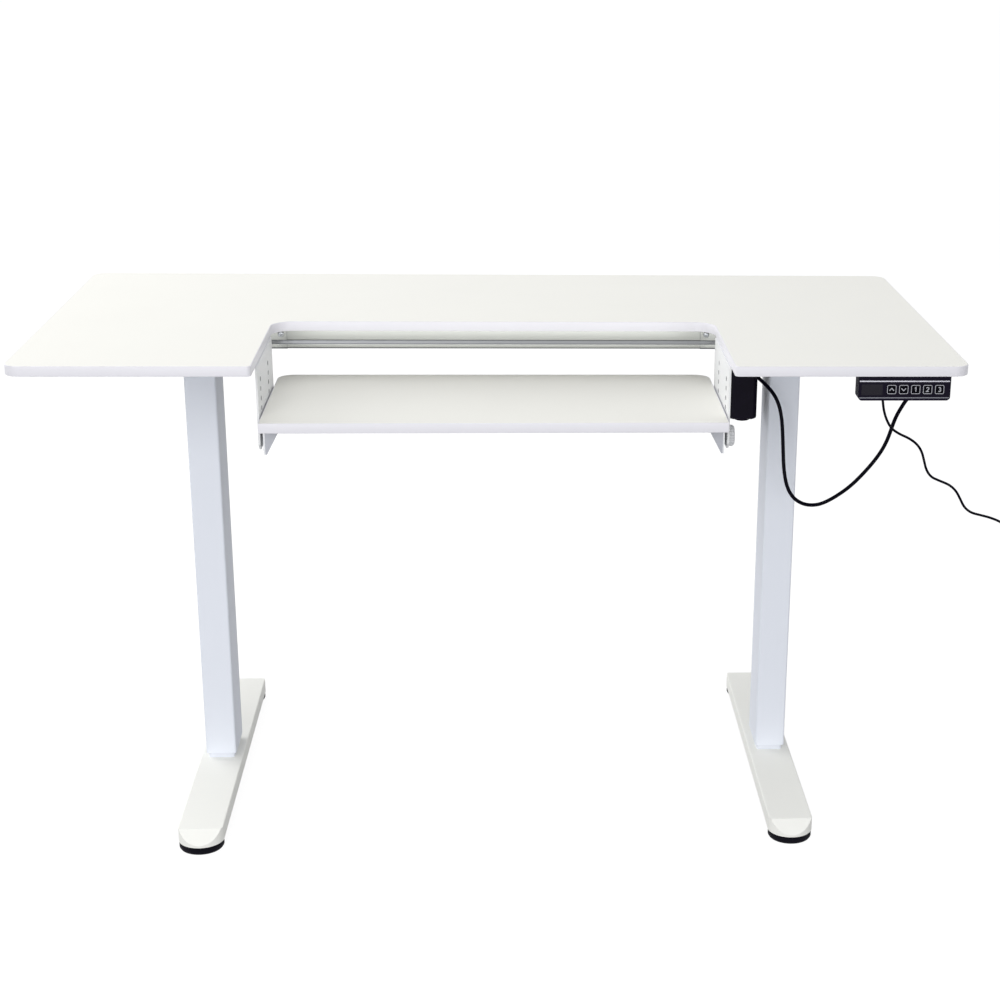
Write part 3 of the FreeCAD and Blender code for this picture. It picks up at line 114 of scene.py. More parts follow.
@dataclass
class Shell:
    """Points and four-cornered faces of one closed surface, or of several."""

    points: Array
    faces: Array

    @staticmethod
    def joined(shells: Sequence["Shell"]) -> "Shell":
        """Several surfaces as one, each face number moved on by the points before it.

        Args:
            shells: the surfaces, in order.

        Returns:
            One surface with all their points and faces.
        """
        starts = np.cumsum([0] + [len(shell.points) for shell in shells[:-1]])
        faces = [shell.faces + start for shell, start in zip(shells, starts)]
        return Shell(np.concatenate([shell.points for shell in shells]), np.concatenate(faces))

    @staticmethod
    def of_grid(grid: Array, wrap_rows: bool, wrap_columns: bool) -> "Shell":
        """Faces between neighbours of a grid of points.

        Args:
            grid: points, shaped rows by columns by 3.
            wrap_rows: whether the last row joins the first.
            wrap_columns: whether the last column joins the first.

        Returns:
            The surface through the grid.
        """
        rows, columns = grid.shape[:2]
        row = np.arange(rows if wrap_rows else rows - 1)[:, None]
        column = np.arange(columns if wrap_columns else columns - 1)[None, :]
        below, beside = (row + 1) % rows, (column + 1) % columns
        corners = np.stack([row * columns + column, row * columns + beside,
                            below * columns + beside, below * columns + column], axis=-1)
        return Shell(grid.reshape(-1, 3), corners.reshape(-1, 4))

    @staticmethod
    def capped(grid: Array) -> "Shell":
        """The surface through a grid of rings, closed by drawing each end ring together to its middle."""
        ends = grid[[0, -1]].mean(1, keepdims=True).repeat(grid.shape[1], 1)
        return Shell.of_grid(np.concatenate([ends[:1], grid, ends[1:]]), False, True)

    def piece(self, name: str, material: bpy.types.Material, sharp: float = 32.0) -> bpy.types.Object:
        """A mesh object of this surface, doubles merged and faces outwards.

        Args:
            name: the object's name.
            material: its finish.
            sharp: angle in degrees above which an edge is shaded as an edge.

        Returns:
            The new object, linked to the scene.
        """
        mesh = bpy.data.meshes.new(name)
        mesh.from_pydata(self.points.tolist(), [], self.faces.tolist())
        work = bmesh.new()
        work.from_mesh(mesh)
        bmesh.ops.remove_doubles(work, verts=work.verts, dist=1e-6)
        bmesh.ops.recalc_face_normals(work, faces=work.faces)
        work.to_mesh(mesh)
        work.free()
        mesh.polygons.foreach_set("use_smooth", np.ones(len(mesh.polygons), dtype=bool))
        mesh.set_sharp_from_angle(angle=math.radians(sharp))
        mesh.materials.append(material)
        made = bpy.data.objects.new(name, mesh)
        bpy.context.scene.collection.objects.link(made)
        return made


def rounded_outline(corners: Array, radii: Sequence[float], steps: int) -> Array:
    """A closed outline with each corner replaced by an arc.

    At a corner the line turns by an angle. The arc starts radius x tan(angle / 2) before the corner, and
    its points are the arc's centre plus the first spoke turned by equal shares of that angle.

    Args:
        corners: corner points, shaped n by 2, in order.
        radii: one radius for each corner.
        steps: points on each arc.

    Returns:
        Points of the outline, shaped n x steps by 2.
    """
    corners, radius = np.asarray(corners, float), np.asarray(radii, float)[:, None]
    before, after = unit(corners - np.roll(corners, 1, 0)), unit(np.roll(corners, -1, 0) - corners)
    left = np.stack([-before[:, 1], before[:, 0]], axis=-1)
    turn = np.arctan2((left * after).sum(-1), (before * after).sum(-1))[:, None]
    inward = left * np.sign(turn)
    centre = corners - before * radius * np.tan(np.abs(turn) / 2) + inward * radius
    angle = turn * np.linspace(0.0, 1.0, steps)[None, :]
    spoke = -inward * radius
    x = centre[:, :1] + spoke[:, :1] * np.cos(angle) - spoke[:, 1:] * np.sin(angle)
    y = centre[:, 1:] + spoke[:, :1] * np.sin(angle) + spoke[:, 1:] * np.cos(angle)
    return np.stack([x, y], axis=-1).reshape(-1, 2)


def carried(path: Array, section: Array, up: Point, closed: bool) -> Shell:
    """A closed section carried along a path.

    Point (i, j) is path point i plus the section's first number along the side, tangent x up, and its second
    number along up. The side is lengthened at a corner, so that the strip keeps its width.

    Args:
        path: points, shaped n by 3.
        section: closed outline of the section, shaped m by 2.
        up: direction that the section's second number follows.
        closed: whether the path's last point joins its first.

    Returns:
        The swept surface, with its ends drawn together where the path is open.
    """
    step = unit(np.roll(path, -1, 0) - path)
    last = np.roll(step, 1, 0)
    if not closed:
        step[-1], last[0] = step[-2], step[0]
    tangent = unit(step + last)
    height = unit(np.asarray(up, float))
    mitre = np.clip((tangent * step).sum(-1, keepdims=True), SHARPEST_MITRE, 1.0)
    side = unit(np.cross(tangent, height)) / mitre
    grid = path[:, None] + section[None, :, :1] * side[:, None] + section[None, :, 1:] * height
    return Shell.of_grid(grid, True, True) if closed else Shell.capped(grid)


def turned(profile: Sequence[Point], spot: Point, way: Way, sides: int,
           ripple: Optional[Ripple] = None) -> Shell:
    """A turned piece: a profile of (radius, height) points carried round an axis.

    Point (i, angle) is the spot plus height i along the axis plus radius i, times the ripple where there is
    one, along the spoke at that angle. A profile that starts and ends at radius nought is closed.

    Args:
        profile: (radius, height) points from one end of the axis to the other.
        spot: the axis's foot.
        way: where the axis points.
        sides: number of spokes.
        ripple: share of the radius as a function of height and angle.

    Returns:
        The turned surface.
    """
    outline, angle = np.asarray(profile, float), full_turn(sides)
    radius = outline[:, :1] * np.ones_like(angle)
    if ripple is not None:
        radius = radius * ripple(outline[:, 1:], angle[None, :])
    rise = outline[:, 1][:, None, None] * np.asarray(way.value)
    return Shell.of_grid(np.asarray(spot, float) + radius[..., None] * spokes(way, angle) + rise, False, True)


def eased(profile: Sequence[Point], radius: float, steps: int = 5) -> Array:
    """A turned piece's profile with its outer corners rounded.

    Args:
        profile: (radius, height) corners from the axis and back to it.
        radius: rounding of every corner that is off the axis.
        steps: points on each rounding.

    Returns:
        Points of the rounded profile, shaped n by 2.
    """
    corners = np.asarray(profile, float)
    radii = np.where(corners[:, 0] > 1e-9, radius, 0.0)
    return rounded_outline(corners, radii, steps)


def tube_along(path: Array, radius: float, sides: int = 14) -> Shell:
    """A round tube along a line.

    Point (i, angle) is line point i plus the radius along the spoke at that angle, in the plane square to
    the line. The spokes start from the tangent x a fixed slanting direction that no cord here runs along.

    Args:
        path: points of the line, shaped n by 3.
        radius: radius of the tube.
        sides: number of spokes.

    Returns:
        The tube, closed at both ends.
    """
    tangent = unit(np.gradient(path, axis=0))
    first = unit(np.cross(tangent, SLANT))
    second = np.cross(tangent, first)
    angle = full_turn(sides)[None, :, None]
    grid = path[:, None] + radius * np.cos(angle) * first[:, None] + radius * np.sin(angle) * second[:, None]
    return Shell.capped(grid)


def smooth_line(route: Array, resolution: int) -> Array:
    """Points of the smooth spline that has a route's points as its control points.

    Args:
        route: control points, shaped n by 3.
        resolution: points between two control points.

    Returns:
        Points read from the spline, in order.
    """
    curve = bpy.data.curves.new("route", "CURVE")
    curve.dimensions = "3D"
    curve.resolution_u = resolution
    spline = curve.splines.new("NURBS")
    spline.points.add(len(route) - 1)
    spline.points.foreach_set("co", np.column_stack([route, np.ones(len(route))]).ravel())
    spline.order_u = 3
    spline.use_endpoint_u = True
    holder = bpy.data.objects.new("route", curve)
    bpy.context.scene.collection.objects.link(holder)
    bpy.context.view_layer.update()
    mesh = bpy.data.meshes.new_from_object(holder)
    points = np.empty(len(mesh.vertices) * 3)
    mesh.vertices.foreach_get("co", points)
    bpy.data.objects.remove(holder)
    bpy.data.meshes.remove(mesh)
    bpy.data.curves.remove(curve)
    return points.reshape(-1, 3)


def flutes(count: int, depth: float, low: float, high: float) -> Ripple:
    """Scallops round a grip.

    Between two heights the radius is cut by depth x (half of 1 + cos(count x angle)) ^ 2.

    Args:
        count: scallops round the grip.
        depth: share of the radius that a scallop takes away.
        low: height where they start.
        high: height where they end.

    Returns:
        The ripple for a turned piece.
    """
    def ripple(height: Array, angle: Array) -> Array:
        """Share of the radius that is left."""
        inside = (height > low) & (height < high)
        return 1.0 - depth * inside * (0.5 + 0.5 * np.cos(count * angle)) ** 2
    return ripple


def feed(tree: Tree, node: bpy.types.Node, values: Mapping[Union[str, int], Operand]) -> bpy.types.Node:
    """Gives a node's inputs what they take: a socket is linked, anything else is set.

    Args:
        tree: the nodes.
        node: the node.
        values: a value or a socket for each input, by its name or place.

    Returns:
        The node.
    """
    for name, value in values.items():
        if isinstance(value, Socket):
            tree.links.new(value, node.inputs[name])
        else:
            node.inputs[name].default_value = value
    return node


def added(tree: Tree, kind: str, **values: Operand) -> bpy.types.Node:
    """A new shader node of a kind, such as TexNoise, with a value or a socket on each named input."""
    return feed(tree, tree.nodes.new(f"ShaderNode{kind}"), values)


def worked(tree: Tree, operation: str, *values: Operand) -> Socket:
    """One step of arithmetic in a material.

    Args:
        tree: the nodes.
        operation: the Math node's operation.
        values: its inputs, as numbers or as sockets.

    Returns:
        The socket that gives the result.
    """
    step = tree.nodes.new("ShaderNodeMath")
    step.operation = operation
    return feed(tree, step, dict(enumerate(values))).outputs[0]


def mixed(tree: Tree, factor: Operand, below: Operand, above: Operand, blend: str = "MIX",
          kind: str = "RGBA") -> Socket:
    """One colour or number laid over another.

    Args:
        tree: the nodes.
        factor: how much of it is laid on, from nought to one.
        below: the colour or number below.
        above: the one on top.
        blend: the way in which they mix.
        kind: RGBA for colours, FLOAT for numbers.

    Returns:
        The socket that gives the mix.
    """
    mix = tree.nodes.new("ShaderNodeMix")
    mix.data_type, mix.blend_type = kind, blend
    return feed(tree, mix, {"Factor": factor, "A": below, "B": above}).outputs["Result"]


def new_group(name: str, takes: Mapping[str, str], gives: Mapping[str, str]) -> tuple[Tree, bpy.types.Node,
                                                                                     bpy.types.Node]:
    """A new node group with its named sockets.

    Args:
        name: the group's name.
        takes: kind of each input.
        gives: kind of each output.

    Returns:
        Its nodes, the node that holds what it takes and the node that holds what it gives.
    """
    tree = bpy.data.node_groups.new(name, "ShaderNodeTree")
    for way, sockets in (("INPUT", takes), ("OUTPUT", gives)):
        for label, kind in sockets.items():
            tree.interface.new_socket(name=label, in_out=way, socket_type=f"NodeSocket{kind}")
    return tree, tree.nodes.new("NodeGroupInput"), tree.nodes.new("NodeGroupOutput")


@lru_cache
def mottle_group() -> Tree:
    """Uneven tone: the colour times 1 + spread x (2 x noise - 1), with soft clouds as the noise.

    Returns:
        The group.
    """
    takes = {"Vector": "Vector", "Colour": "Color", "Scale": "Float", "Spread": "Float"}
    tree, source, result = new_group("mottle", takes, {"Colour": "Color"})
    given = source.outputs
    clouds = added(tree, "TexNoise", Vector=given["Vector"], Scale=given["Scale"], Detail=4.0).outputs["Fac"]
    centred = worked(tree, "MULTIPLY_ADD", clouds, 2.0, -1.0)
    tone = worked(tree, "MULTIPLY_ADD", centred, given["Spread"], 1.0)
    feed(tree, result, {"Colour": mixed(tree, 1.0, given["Colour"], tone, "MULTIPLY")})
    return tree


def relief_group(name: str, takes: Mapping[str, str],
                 height_of: Callable[[Tree, bpy.types.NodeOutputs], Socket]) -> Tree:
    """A group that gives a height, and as roughness the gloss + spread x (height - 0.5).

    Args:
        name: the group's name.
        takes: kind of each input beside the gloss and its spread.
        height_of: makes the height from the inputs.

    Returns:
        The group.
    """
    gives = {"Height": "Float", "Roughness": "Float"}
    tree, source, result = new_group(name, {**takes, "Gloss": "Float", "Spread": "Float"}, gives)
    given = source.outputs
    height = height_of(tree, given)
    centred = worked(tree, "SUBTRACT", height, 0.5)
    gloss = worked(tree, "MULTIPLY_ADD", centred, given["Spread"], given["Gloss"])
    feed(tree, result, {"Height": height, "Roughness": gloss})
    return tree


def toothed(tree: Tree, given: bpy.types.NodeOutputs) -> Socket:
    """An even tooth: coarse noise and finer cells, mixed by the grit.

    Args:
        tree: the group's nodes.
        given: what the group takes.

    Returns:
        The socket that gives the height.
    """
    finer = worked(tree, "MULTIPLY", given["Scale"], CELL_FINENESS)
    noise = added(tree, "TexNoise", Vector=given["Vector"], Scale=given["Scale"], Detail=2.0)
    cells = added(tree, "TexVoronoi", Vector=given["Vector"], Scale=finer)
    return mixed(tree, given["Grit"], noise.outputs["Fac"], cells.outputs["Distance"], kind="FLOAT")


def brushed(tree: Tree, given: bpy.types.NodeOutputs) -> Socket:
    """Fine lines of rolled or drawn metal: noise on coordinates that are stretched along one axis.

    Args:
        tree: the group's nodes.
        given: what the group takes.

    Returns:
        The socket that gives the height.
    """
    stretched = tree.nodes.new("ShaderNodeVectorMath")
    stretched.operation = "MULTIPLY"
    feed(tree, stretched, {0: given["Vector"], 1: given["Stretch"]})
    return added(tree, "TexNoise", Vector=stretched.outputs[0], Scale=1.0, Detail=3.0).outputs["Fac"]


@lru_cache
def tooth_group() -> Tree:
    """The group of an even tooth, made once."""
    return relief_group("tooth", {"Vector": "Vector", "Scale": "Float", "Grit": "Float"}, toothed)


@lru_cache
def brush_group() -> Tree:
    """The group of brushed lines, made once."""
    return relief_group("brush_lines", {"Vector": "Vector", "Stretch": "Vector"}, brushed)


def linear(colour: str) -> tuple[float, float, float, float]:
    """A colour written as six hexadecimal digits, as the linear light that a shader takes.

    Args:
        colour: the digits, two for each of red, green and blue.

    Returns:
        Red, green, blue and a full alpha.
    """
    share = np.array([int(colour[at:at + 2], 16) for at in (0, 2, 4)]) / 255.0
    light = np.where(share <= 0.04045, share / 12.92, ((share + 0.055) / 1.055) ** 2.4)
    return (*light.tolist(), 1.0)


@dataclass(frozen=True)
class Finish:
    """A finish: its colour with soft clouds in it, and a fine relief that also varies the gloss."""

    name: str
    colour: str
    roughness: float
    clouds: float = 0.02
    cloud_scale: float = 9.0
    relief: float = 0.1
    relief_scale: float = 900.0
    grit: float = 0.0
    gloss_spread: float = 0.1
    metallic: float = 0.0
    specular: float = 0.5
    coat: float = 0.0
    brush: Optional[Brush] = None

    def relief_node(self, tree: Tree, place: Socket) -> bpy.types.Node:
        """The group that gives height and roughness: brushed lines or an even tooth.

        Args:
            tree: the material's nodes.
            place: coordinates of the surface.

        Returns:
            The group's node, with this finish's values.
        """
        group = tree.nodes.new("ShaderNodeGroup")
        group.node_tree = brush_group() if self.brush else tooth_group()
        tooth = {"Scale": self.relief_scale, "Grit": self.grit}
        form = {"Stretch": self.brush.value} if self.brush else tooth
        gloss = {"Gloss": self.roughness, "Spread": self.gloss_spread}
        return feed(tree, group, {"Vector": place, **gloss, **form})

    def colour_output(self, tree: Tree, place: Socket) -> Socket:
        """The colour over the surface.

        Args:
            tree: the material's nodes.
            place: coordinates of the surface.

        Returns:
            The socket that gives the clouded colour.
        """
        group = tree.nodes.new("ShaderNodeGroup")
        group.node_tree = mottle_group()
        feed(tree, group, {"Vector": place, "Colour": linear(self.colour), "Scale": self.cloud_scale,
                           "Spread": self.clouds})
        return group.outputs["Colour"]

    def material(self) -> bpy.types.Material:
        """The finish as a material, made once."""
        return finished(self)


@dataclass(frozen=True)
class Weave(Finish):
    """A woven strap: two sets of fine waves that cross over the clouds of the colour."""

    threads: float = 1400.0
    gap_depth: float = 0.6

    def colour_output(self, tree: Tree, place: Socket) -> Socket:
        """The clouded colour, darker between the threads.

        Args:
            tree: the material's nodes.
            place: coordinates of the surface.

        Returns:
            The socket that gives the colour.
        """
        waves = [added(tree, "TexWave", Vector=place, Scale=self.threads / (2 * math.pi)) for _ in range(2)]
        for wave, direction in zip(waves, ("X", "Y")):
            wave.bands_direction = direction
        crossed = worked(tree, "MAXIMUM", *[wave.outputs["Fac"] for wave in waves])
        return mixed(tree, self.gap_depth, super().colour_output(tree, place), crossed, "MULTIPLY")


@dataclass(frozen=True)
class Banded(Finish):
    """A finish with straight bands of other colours, each given as axis, low, high and colour."""

    bands: tuple[tuple[str, float, float, str], ...] = ()

    def colour_output(self, tree: Tree, place: Socket) -> Socket:
        """The clouded colour with its bands, which lie alike on both sides of nought.

        A point is in a band where its distance from nought is within half the band's width of its middle.

        Args:
            tree: the material's nodes.
            place: coordinates of the surface.

        Returns:
            The socket that gives the colour.
        """
        colour = super().colour_output(tree, place)
        parts = added(tree, "SeparateXYZ", Vector=place).outputs
        for axis, low, high, tone in self.bands:
            away = worked(tree, "ABSOLUTE", parts[axis])
            inside = worked(tree, "COMPARE", away, (low + high) / 2, (high - low) / 2)
            colour = mixed(tree, inside, colour, linear(tone))
        return colour


@dataclass(frozen=True)
class HoleShadedPaint(Finish):
    """A paint with painted shade on the walls of two columns of drilled holes, which show dark."""

    columns: tuple[float, float] = (0.0, 0.0)
    first: float = 0.0
    pitch: float = 0.01
    reach: float = 0.003
    # colour of the painted shade on the hole walls
    hole_shade_colour: str = "5E6066"

    def colour_output(self, tree: Tree, place: Socket) -> Socket:
        """The clouded colour, with painted shade within reach of the nearest hole's axis.

        The distance from the columns is | |y - their middle| - half their spacing |, the distance along a
        column is the height wrapped to half a pitch each side of a hole, and the mask is one where the sum of
        their squares is less than the square of the reach, from the first hole downwards.

        Args:
            tree: the material's nodes.
            place: coordinates of the surface.

        Returns:
            The socket that gives the colour.
        """
        parts = added(tree, "SeparateXYZ", Vector=place).outputs
        middle, spacing = sum(self.columns) / 2, abs(self.columns[1] - self.columns[0])
        aside = worked(tree, "ABSOLUTE", worked(tree, "SUBTRACT", parts["Y"], middle))
        aside = worked(tree, "SUBTRACT", aside, spacing / 2)
        height = worked(tree, "SUBTRACT", parts["Z"], self.first)
        along = worked(tree, "WRAP", height, self.pitch / 2, -self.pitch / 2)
        squares = worked(tree, "MULTIPLY_ADD", aside, aside, worked(tree, "MULTIPLY", along, along))
        near = worked(tree, "LESS_THAN", squares, self.reach ** 2)
        below = worked(tree, "LESS_THAN", height, self.pitch / 2)
        hole = worked(tree, "MULTIPLY", near, below)
        return mixed(tree, hole, super().colour_output(tree, place), linear(self.hole_shade_colour))


@lru_cache
def finished(finish: Finish) -> bpy.types.Material:
    """The material of a finish: clouded colour, relief through a bump, and gloss that follows the relief.

    Args:
        finish: the finish.

    Returns:
        Its material.
    """
    made = bpy.data.materials.new(finish.name)
    made.use_nodes = True
    tree = made.node_tree
    place = added(tree, "TexCoord").outputs["Object"]
    relief = finish.relief_node(tree, place).outputs
    bump = added(tree, "Bump", Strength=finish.relief, Distance=RELIEF_DEPTH, Height=relief["Height"])
    feed(tree, tree.nodes["Principled BSDF"], {
        "Base Color": finish.colour_output(tree, place), "Normal": bump.outputs["Normal"],
        "Roughness": relief["Roughness"], "Metallic": finish.metallic, "Specular IOR Level": finish.specular,
        "Coat Weight": finish.coat, "Coat Roughness": COAT_ROUGHNESS})
    return made


MELAMINE = Finish("white_melamine", "F6F5EE", 0.42, clouds=0.012, relief=0.10, relief_scale=1300.0, grit=0.35)
EDGE_BAND = Finish("white_edge_band", "E8E7ED", 0.36, clouds=0.015, cloud_scale=30.0, relief=0.05)
COLUMN_PAINT = Finish("cool_white_powder_coat", "F1F5FE", 0.52, clouds=0.015, relief=0.16, relief_scale=700.0,
                      specular=0.1)
# Painted light: a warmer white copy of the column paint, made lighter to stand in for the stronger light on
# the feet.
FOOT_PAINT_PAINTED_LIGHT = replace(COLUMN_PAINT, name="warm_white_coat_painted_light", colour="FDFDF8")
# Painted shade: the walls of the drilled holes get a dark colour that stands in for the shade in them.
PLATE_PAINT = HoleShadedPaint("plate_paint_painted_hole_shade", "ECEDEE", 0.5, clouds=0.02, relief=0.16, relief_scale=700.0,
                      specular=0.25, columns=(-0.218, -0.132), first=0.6445, pitch=0.0127, reach=0.00335)
# Painted shade: the grey base colour stands in for the shade under the shelf, and the Z band is a painted
# shadow line under the shelf; the X band gives the upright leg the plain white of the paint.
BRACKET_PAINT_WITH_PAINTED_SHADE = Banded("bracket_coat_painted_shade", "B8BAC2", 0.45, clouds=0.03, relief=0.16, relief_scale=700.0,
                       bands=(("Z", 0.5850, 0.5869, "74767C"), ("X", 0.2928, 0.2952, "F0F1F4")))
INNER_STEEL = Finish("white_enamel", "E8ECF5", 0.40, clouds=0.03, relief=0.08, brush=Brush.ALONG_Z)
# Painted shade: the X band darkens the gap at each sleeve's mouth, and the Z bands darken the groove, the
# face below it, a line above the bead and the bead's underside.
RAIL_METAL_WITH_PAINTED_SHADE = Banded("rail_metal_painted_shade", "B2B4B0", 0.30, clouds=0.03, relief=0.06, metallic=0.5,
                    brush=Brush.ALONG_X,
                    bands=(("X", 0.2844, 0.2856, "A0A2A0"), ("Z", 0.6470, 0.6484, "4C4E52"),
                           ("Z", 0.6432, 0.6470, "9C9EA2"), ("Z", 0.6421, 0.6432, "707276"),
                           ("Z", 0.630, 0.6375, "54565C")))
ZINC = Finish("zinc_plated_steel", "B9BCC0", 0.30, clouds=0.08, cloud_scale=220.0, relief=0.10,
              relief_scale=1600.0, metallic=1.0)
SHAFT_STEEL = Finish("drawn_steel", "A9ADB2", 0.28, clouds=0.05, relief=0.12, metallic=1.0,
                     brush=Brush.ALONG_X)
CAST_METAL = Finish("cast_housing", "8B8F94", 0.55, clouds=0.06, cloud_scale=60.0, relief=0.35,
                    relief_scale=1100.0, grit=0.6, metallic=0.6)
GLIDE = Finish("glide_plastic", "E9E8E2", 0.38, clouds=0.02, relief=0.08)
COVER_BLACK = Finish("grained_black_plastic", "0D0818", 0.46, specular=0.08, clouds=0.30, cloud_scale=90.0,
                     relief=0.30, relief_scale=1500.0, grit=0.7, gloss_spread=0.16)
PANEL_BLACK = Finish("panel_black_plastic", "0D081C", 0.44, specular=0.06, clouds=0.08, cloud_scale=50.0,
                     relief=0.22, relief_scale=1900.0, grit=0.6)
PAD_BLACK = Finish("pad_plastic", "05040F", 0.50, specular=0.08, clouds=0.10, cloud_scale=70.0, relief=0.22,
                   relief_scale=1500.0, grit=0.5)
KNOB_GREY = Finish("knob_plastic", "E4E5E8", 0.42, clouds=0.03, relief=0.18, relief_scale=1600.0, grit=0.5)
KEY_BLACK = Finish("key_plastic", "04030A", 0.36, specular=0.02, clouds=0.06, cloud_scale=120.0, relief=0.10,
                   relief_scale=2200.0)
FACE_FILM = Finish("face_film", "110C1D", 0.40, specular=0.05, clouds=0.06, cloud_scale=60.0, relief=0.14,
                   relief_scale=2400.0, grit=0.4)
DISPLAY = Finish("display_window", "17141F", 0.16, specular=0.12, clouds=0.10, cloud_scale=45.0, relief=0.02,
                 coat=0.03)
# Painted shade: the lower Z band darkens the trim's lower strip as a shaded copy of the silver; the upper Z
# band paints a thin dark line higher up the trim.
TRIM_SILVER_WITH_PAINTED_SHADE = Banded("satin_silver_painted_shade", "98989F", 0.24, clouds=0.03, relief=0.10, metallic=1.0,
                     brush=Brush.ALONG_X,
                     bands=(("Z", 0.636, 0.640, "5C5D63"), ("Z", 0.6570, 0.6586, "2E2D33")))
KEY_PRINT = Finish("silver_print", "AAABB2", 0.40, clouds=0.05, cloud_scale=400.0, relief=0.05,
                   relief_scale=3000.0)
CIRCUIT = Finish("circuit_lacquer", "1F5A38", 0.34, clouds=0.14, cloud_scale=160.0, relief=0.10)
JACKET = Finish("cord_jacket", "02010F", 0.20, specular=0.04, clouds=0.08, cloud_scale=160.0, relief=0.14,
                relief_scale=1500.0)
GLAND_RUBBER = Finish("bend_relief_rubber", "0C0C0E", 0.54, specular=0.25, clouds=0.08, cloud_scale=160.0,
                      relief=0.20, relief_scale=1600.0, grit=0.4)
PLUG_BLACK = Finish("plug_plastic", "0F0F11", 0.48, specular=0.25, clouds=0.08, cloud_scale=90.0, relief=0.25,
                    relief_scale=1700.0, grit=0.6)
PIN_METAL = Finish("nickelled_brass", "C9C2B0", 0.22, clouds=0.05, cloud_scale=300.0, relief=0.08,
                   metallic=1.0)
STRAP = Weave("woven_strap", "1D1D1F", 0.85, clouds=0.12, cloud_scale=300.0, relief=0.5, relief_scale=1400.0)


def dress(finish: Finish, *names: str) -> None:
    """Gives CAD nodes a finish.

    Args:
        finish: the finish.
        names: the nodes.
    """
    for name in names:
        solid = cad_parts[name]
        for holder in solid.material_slots:
            holder.material = finish.material()
        if not solid.material_slots:
            solid.data.materials.append(finish.material())
        LOG.info("dressed %s in %s", name, finish.name)


def fit(shell: Shell, name: str, finish: Finish, body: str, slot: str, *nodes: str) -> bpy.types.Object:
    """Makes a surface into a piece, puts it on its body and lets it stand for CAD nodes.

    Args:
        shell: the surface.
        name: the piece's name.
        finish: its finish.
        body: the CAD body that it moves with.
        slot: the record's material slot; not used.
        nodes: the CAD nodes that it replaces.

    Returns:
        The piece.
    """
    piece = shell.piece(name, finish.material())
    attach(piece, body)
    if nodes:
        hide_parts(*nodes)
    LOG.info("built %s on %s", piece.name, body)
    return piece


@dataclass(frozen=True)
class ScrewHeads:
    """A set of like screws, of which the pan heads with their cross recesses show."""

    radius: float = 0.00425
    height: float = 0.0026
    sag: float = 0.55
    recess: float = 0.5
    arm_half: float = 0.15
    arm_slope: float = 0.05
    arm_reach: float = 0.58
    end_slope: float = 0.1

    def head(self, spot: Point, way: Way) -> Shell:
        """One head.

        On rings of share q of the radius the dome's height is height x (1 - sag x q^4). Inside the cross,
        where one coordinate is within its arm's half width and the other within its reach, the recess is
        taken off.

        Args:
            spot: middle of the seat.
            way: where the head looks.

        Returns:
            The head, closed by its flat seat.
        """
        share = np.concatenate([np.linspace(0.0, 0.62, 12), np.linspace(0.7, 1.0, 6)])[:, None]
        angle = full_turn(48)
        across, along = np.abs(share * np.cos(angle)), np.abs(share * np.sin(angle))
        arm, reach = np.minimum(across, along), np.maximum(across, along)
        beside = np.clip((self.arm_half - arm) / self.arm_slope, 0.0, 1.0)
        cross = beside * np.clip((self.arm_reach - reach) / self.end_slope, 0.0, 1.0)
        dome = self.height * (1 - self.sag * share ** 4 - self.recess * cross)
        rise = np.concatenate([dome, np.zeros((2, angle.size))])
        ring = self.radius * np.concatenate([share, [[1.0], [0.0]]])[..., None] * spokes(way, angle)
        return Shell.of_grid(np.asarray(spot, float) + ring + rise[..., None] * way.value, False, True)

    def build(self, name: str, body: str, node: str, seats: Sequence[tuple[Point, Way]]) -> None:
        """Makes heads that look their ways on their seats, as one piece in place of a CAD node."""
        heads = [self.head(spot, way) for spot, way in seats]
        fit(Shell.joined(heads), name, ZINC, body, "steel", node)


def edge_band(outline: Array, bottom: float, thickness: float, height: float, arris: float) -> Shell:
    """An edge band: a strip with rounded outer arrises and a fine glue line, carried round a board.

    Args:
        outline: the board's outer outline, shaped n by 2, anticlockwise.
        bottom: level of the board's underside.
        thickness: thickness of the band.
        height: height of the band.
        arris: rounding of its outer edges.

    Returns:
        The band.
    """
    glue_line = 0.00018
    corners = [(-thickness, 0.0), (0.0, 0.0), (0.0, height), (-thickness, height)]
    section = rounded_outline(corners, (glue_line, arris, arris, glue_line), 5)
    path = np.column_stack([outline, np.full(len(outline), bottom)])
    return carried(path, section, Way.UP.value, closed=True)


